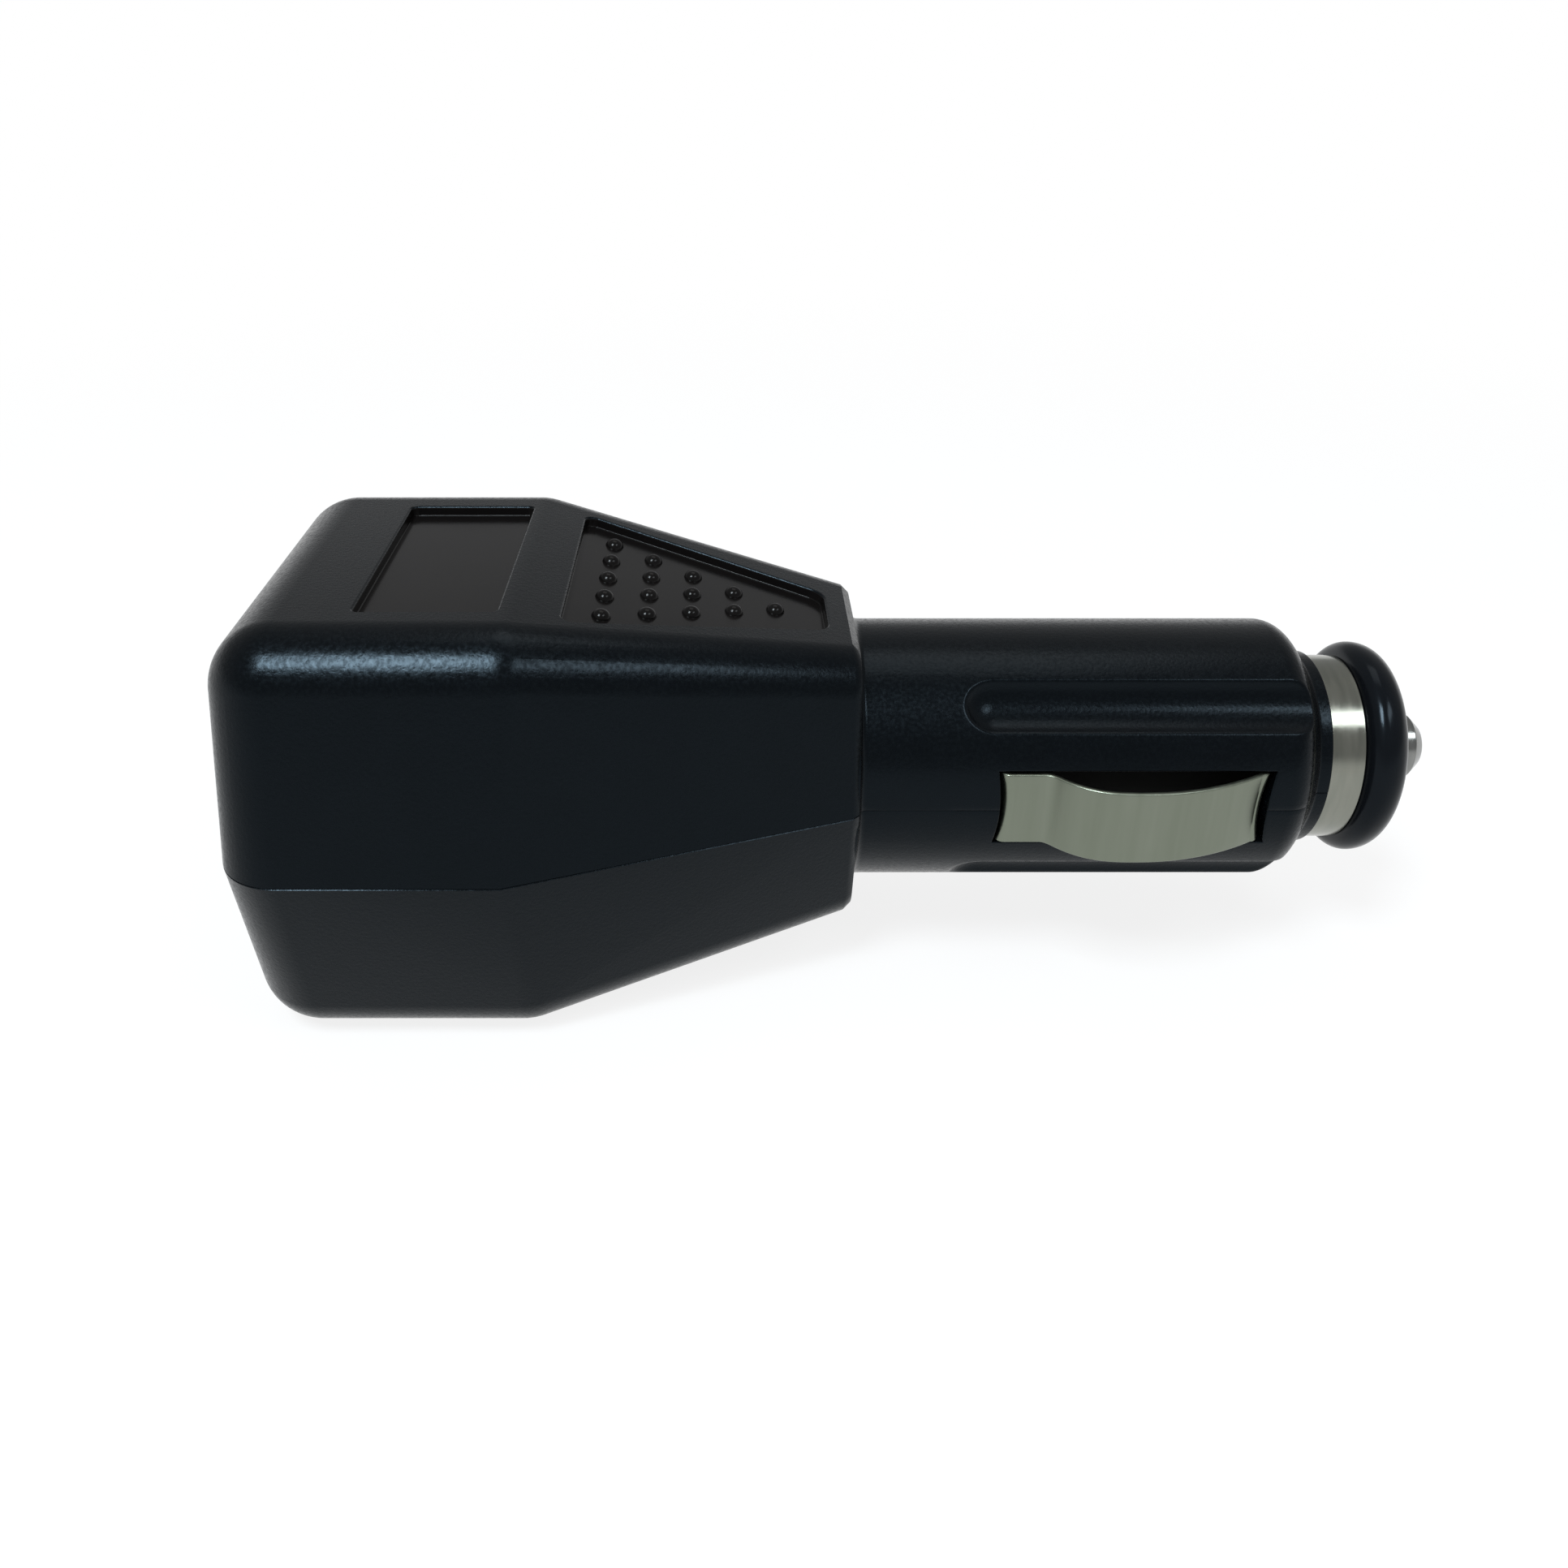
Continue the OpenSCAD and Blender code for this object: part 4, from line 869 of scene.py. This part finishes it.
TONGUE = surface("white_moulded_tongue", (0.58, 0.58, 0.555), (0.64, 0.64, 0.615), rough=(0.32, 0.42),
                 grain_mm=0.3, depth_mm=0.003, patch_mm=3)
GOLD = surface("gold_flashed_contact", (0.72, 0.50, 0.18), (0.80, 0.58, 0.25), metallic=1.0,
               rough=(0.15, 0.25), grain_mm=0.1, depth_mm=0.0006, patch_mm=1)
FERRITE = surface("sintered_ferrite", (0.028, 0.028, 0.030), (0.050, 0.050, 0.052), rough=(0.45, 0.62),
                  grain_mm=0.12, depth_mm=0.008, patch_mm=1.5)
COPPER = surface("enamelled_copper", (0.42, 0.14, 0.05), (0.55, 0.21, 0.08), metallic=0.6,
                 rough=(0.2, 0.3), grain_mm=0.35, depth_mm=0.03, patch_mm=2, stretch=(0.02, 0.02, 1),
                 coat=0.5)
SLEEVE = surface("printed_can_sleeve", (0.010, 0.018, 0.075), (0.016, 0.028, 0.110), rough=(0.25, 0.35),
                 grain_mm=0.4, depth_mm=0.003, patch_mm=3)
CHIP = surface("moulded_epoxy", (0.018, 0.018, 0.019), (0.030, 0.030, 0.032), rough=(0.5, 0.65),
               grain_mm=0.08, depth_mm=0.006, patch_mm=1)
FINISHES = {
    "fuse_front_cap": SILVERED, "fuse_rear_cap": SILVERED, "fuse_glass": GLASS, "fuse_wire": WIRE,
    "spring_seat": BRASS, "left_ground_strap": BRASS, "right_ground_strap": BRASS,
    "circuit_board": BOARD, "port_tongue": TONGUE, "port_contacts": GOLD, "coil_core": FERRITE,
    "coil_winding": COPPER, "input_capacitor": SLEEVE, "output_capacitor": SLEEVE, "regulator_chip": CHIP,
    "control_chip": CHIP, "rectifier_diode": CHIP, "chip_resistors": CHIP,
}
for node, finish in FINISHES.items():
    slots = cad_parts[node].data.materials
    slots.clear()
    slots.append(finish)

# Camera, fitted to the photograph's outline: the picture is PICTURE pixels wide and high
PICTURE, SENSOR = 1932, 36.0
FOCAL_PIXELS, CENTRE_COLUMN, CENTRE_ROW = 1722.06, 890.30, 927.69
CAMERA_PLACE, CAMERA_TILT = (-10.41, -101.957, 55.359), 28.813
view = bpy.data.cameras.new("camera")
view.sensor_width = SENSOR
view.lens = SENSOR * FOCAL_PIXELS / PICTURE
view.shift_x = (PICTURE / 2 - CENTRE_COLUMN) / PICTURE
view.shift_y = (CENTRE_ROW - PICTURE / 2) / PICTURE
view.clip_start, view.clip_end = 0.005, 60
camera = bpy.data.objects.new("camera", view)
camera.location = Vector(CAMERA_PLACE) * MM
camera.rotation_euler = (math.radians(90 - CAMERA_TILT), 0, 0)
bpy.context.scene.collection.objects.link(camera)
bpy.context.scene.camera = camera


# Studio: a pale floor, a soft key lamp over the near side, and weaker fills

def lamp(name, place, target, size, watts, colour):
    """Rectangular soft lamp, in metres, turned to its target."""
    data = bpy.data.lights.new(name, "AREA")
    data.shape = "RECTANGLE"
    data.size, data.size_y = size
    data.energy = watts
    data.color = colour
    made = bpy.data.objects.new(name, data)
    made.location = place
    made.rotation_mode = "QUATERNION"
    made.rotation_quaternion = (Vector(target) - Vector(place)).to_track_quat("-Z", "Y")
    bpy.context.scene.collection.objects.link(made)


MIDDLE = (0, 0, 0)
lamp("key", (-0.17, -0.27, 0.50), MIDDLE, (0.15, 0.19), 3.6, (0.84, 0.94, 1.0))
lamp("side_fill", (0.29, -0.23, 0.46), MIDDLE, (0.22, 0.12), 0.7, (0.90, 0.96, 1.0))
lamp("far_fill", (0.05, 0.22, 0.70), MIDDLE, (0.4, 0.3), 0.6, (1.0, 0.98, 0.95))


def seen_directly(tree):
    """One for rays from the camera, from gloss and through glass, and zero for the rest."""
    rays = tree.nodes.new("ShaderNodeLightPath")
    total = rays.outputs["Is Camera Ray"]
    for output in ("Is Glossy Ray", "Is Transmission Ray"):
        add = tree.nodes.new("ShaderNodeMath")
        add.operation = "MAXIMUM"
        link(tree, total, add.inputs[0])
        link(tree, rays.outputs[output], add.inputs[1])
        total = add.outputs[0]
    return total


def make_floor():
    """Pale floor that is white seen directly and keeps a soft shadow."""
    half, parts = 15.0, 12
    level = (-HEAD_H / 2 - FLOOR_GAP) * MM
    places = [half * (2 * i / parts - 1) for i in range(parts + 1)]
    bm = bmesh.new()
    grid = [[bm.verts.new((x, y, level)) for y in places] for x in places]
    for i in range(parts):
        for j in range(parts):
            bm.faces.new((grid[i][j], grid[i + 1][j], grid[i + 1][j + 1], grid[i][j + 1]))
    floor = new_object("floor", bm)
    made = bpy.data.materials.new("pale_floor")
    made.use_nodes = True
    tree = made.node_tree
    shader = tree.nodes["Principled BSDF"]
    shader.inputs["Base Color"].default_value = (0.86, 0.86, 0.86, 1)
    shader.inputs["Roughness"].default_value = 0.9
    shader.inputs["Specular IOR Level"].default_value = 0.1
    glow = tree.nodes.new("ShaderNodeEmission")
    glow.inputs["Color"].default_value = (1, 1, 1, 1)
    share = tree.nodes.new("ShaderNodeMath")
    share.operation = "MULTIPLY"
    link(tree, seen_directly(tree), share.inputs[0])
    points = tree.nodes.new("ShaderNodeTexCoord")
    away = tree.nodes.new("ShaderNodeVectorMath")
    away.operation = "LENGTH"
    link(tree, points.outputs["Object"], away.inputs[0])
    near, far, near_glow, far_glow = 0.08, 0.30, 0.84, 1.0
    glow_share = remap(tree, away.outputs["Value"], near, far, near_glow, far_glow, "SMOOTHSTEP")
    link(tree, glow_share, share.inputs[1])
    mix = tree.nodes.new("ShaderNodeMixShader")
    link(tree, share.outputs[0], mix.inputs["Fac"])
    link(tree, shader.outputs["BSDF"], mix.inputs[1])
    link(tree, glow.outputs["Emission"], mix.inputs[2])
    link(tree, mix.outputs["Shader"], tree.nodes["Material Output"].inputs["Surface"])
    floor.data.materials.append(made)


def make_world():
    """Soft studio backdrop, the same for every ray: white at the horizon and grey overhead."""
    world = bpy.data.worlds.new("studio")
    bpy.context.scene.world = world
    world.use_nodes = True
    tree = world.node_tree
    backdrop = tree.nodes["Background"]
    backdrop.inputs["Color"].default_value = (0.98, 0.99, 1.0, 1)
    places = tree.nodes.new("ShaderNodeTexCoord")
    parts = tree.nodes.new("ShaderNodeSeparateXYZ")
    link(tree, places.outputs["Generated"], parts.inputs["Vector"])
    grey_from, horizon_level, upper_level = 0.26, 1.0, 0.42
    level = remap(tree, parts.outputs["Z"], 0.0, grey_from, horizon_level, upper_level, "SMOOTHSTEP")
    link(tree, level, backdrop.inputs["Strength"])


make_floor()
make_world()
bpy.context.scene.view_settings.view_transform = "Standard"
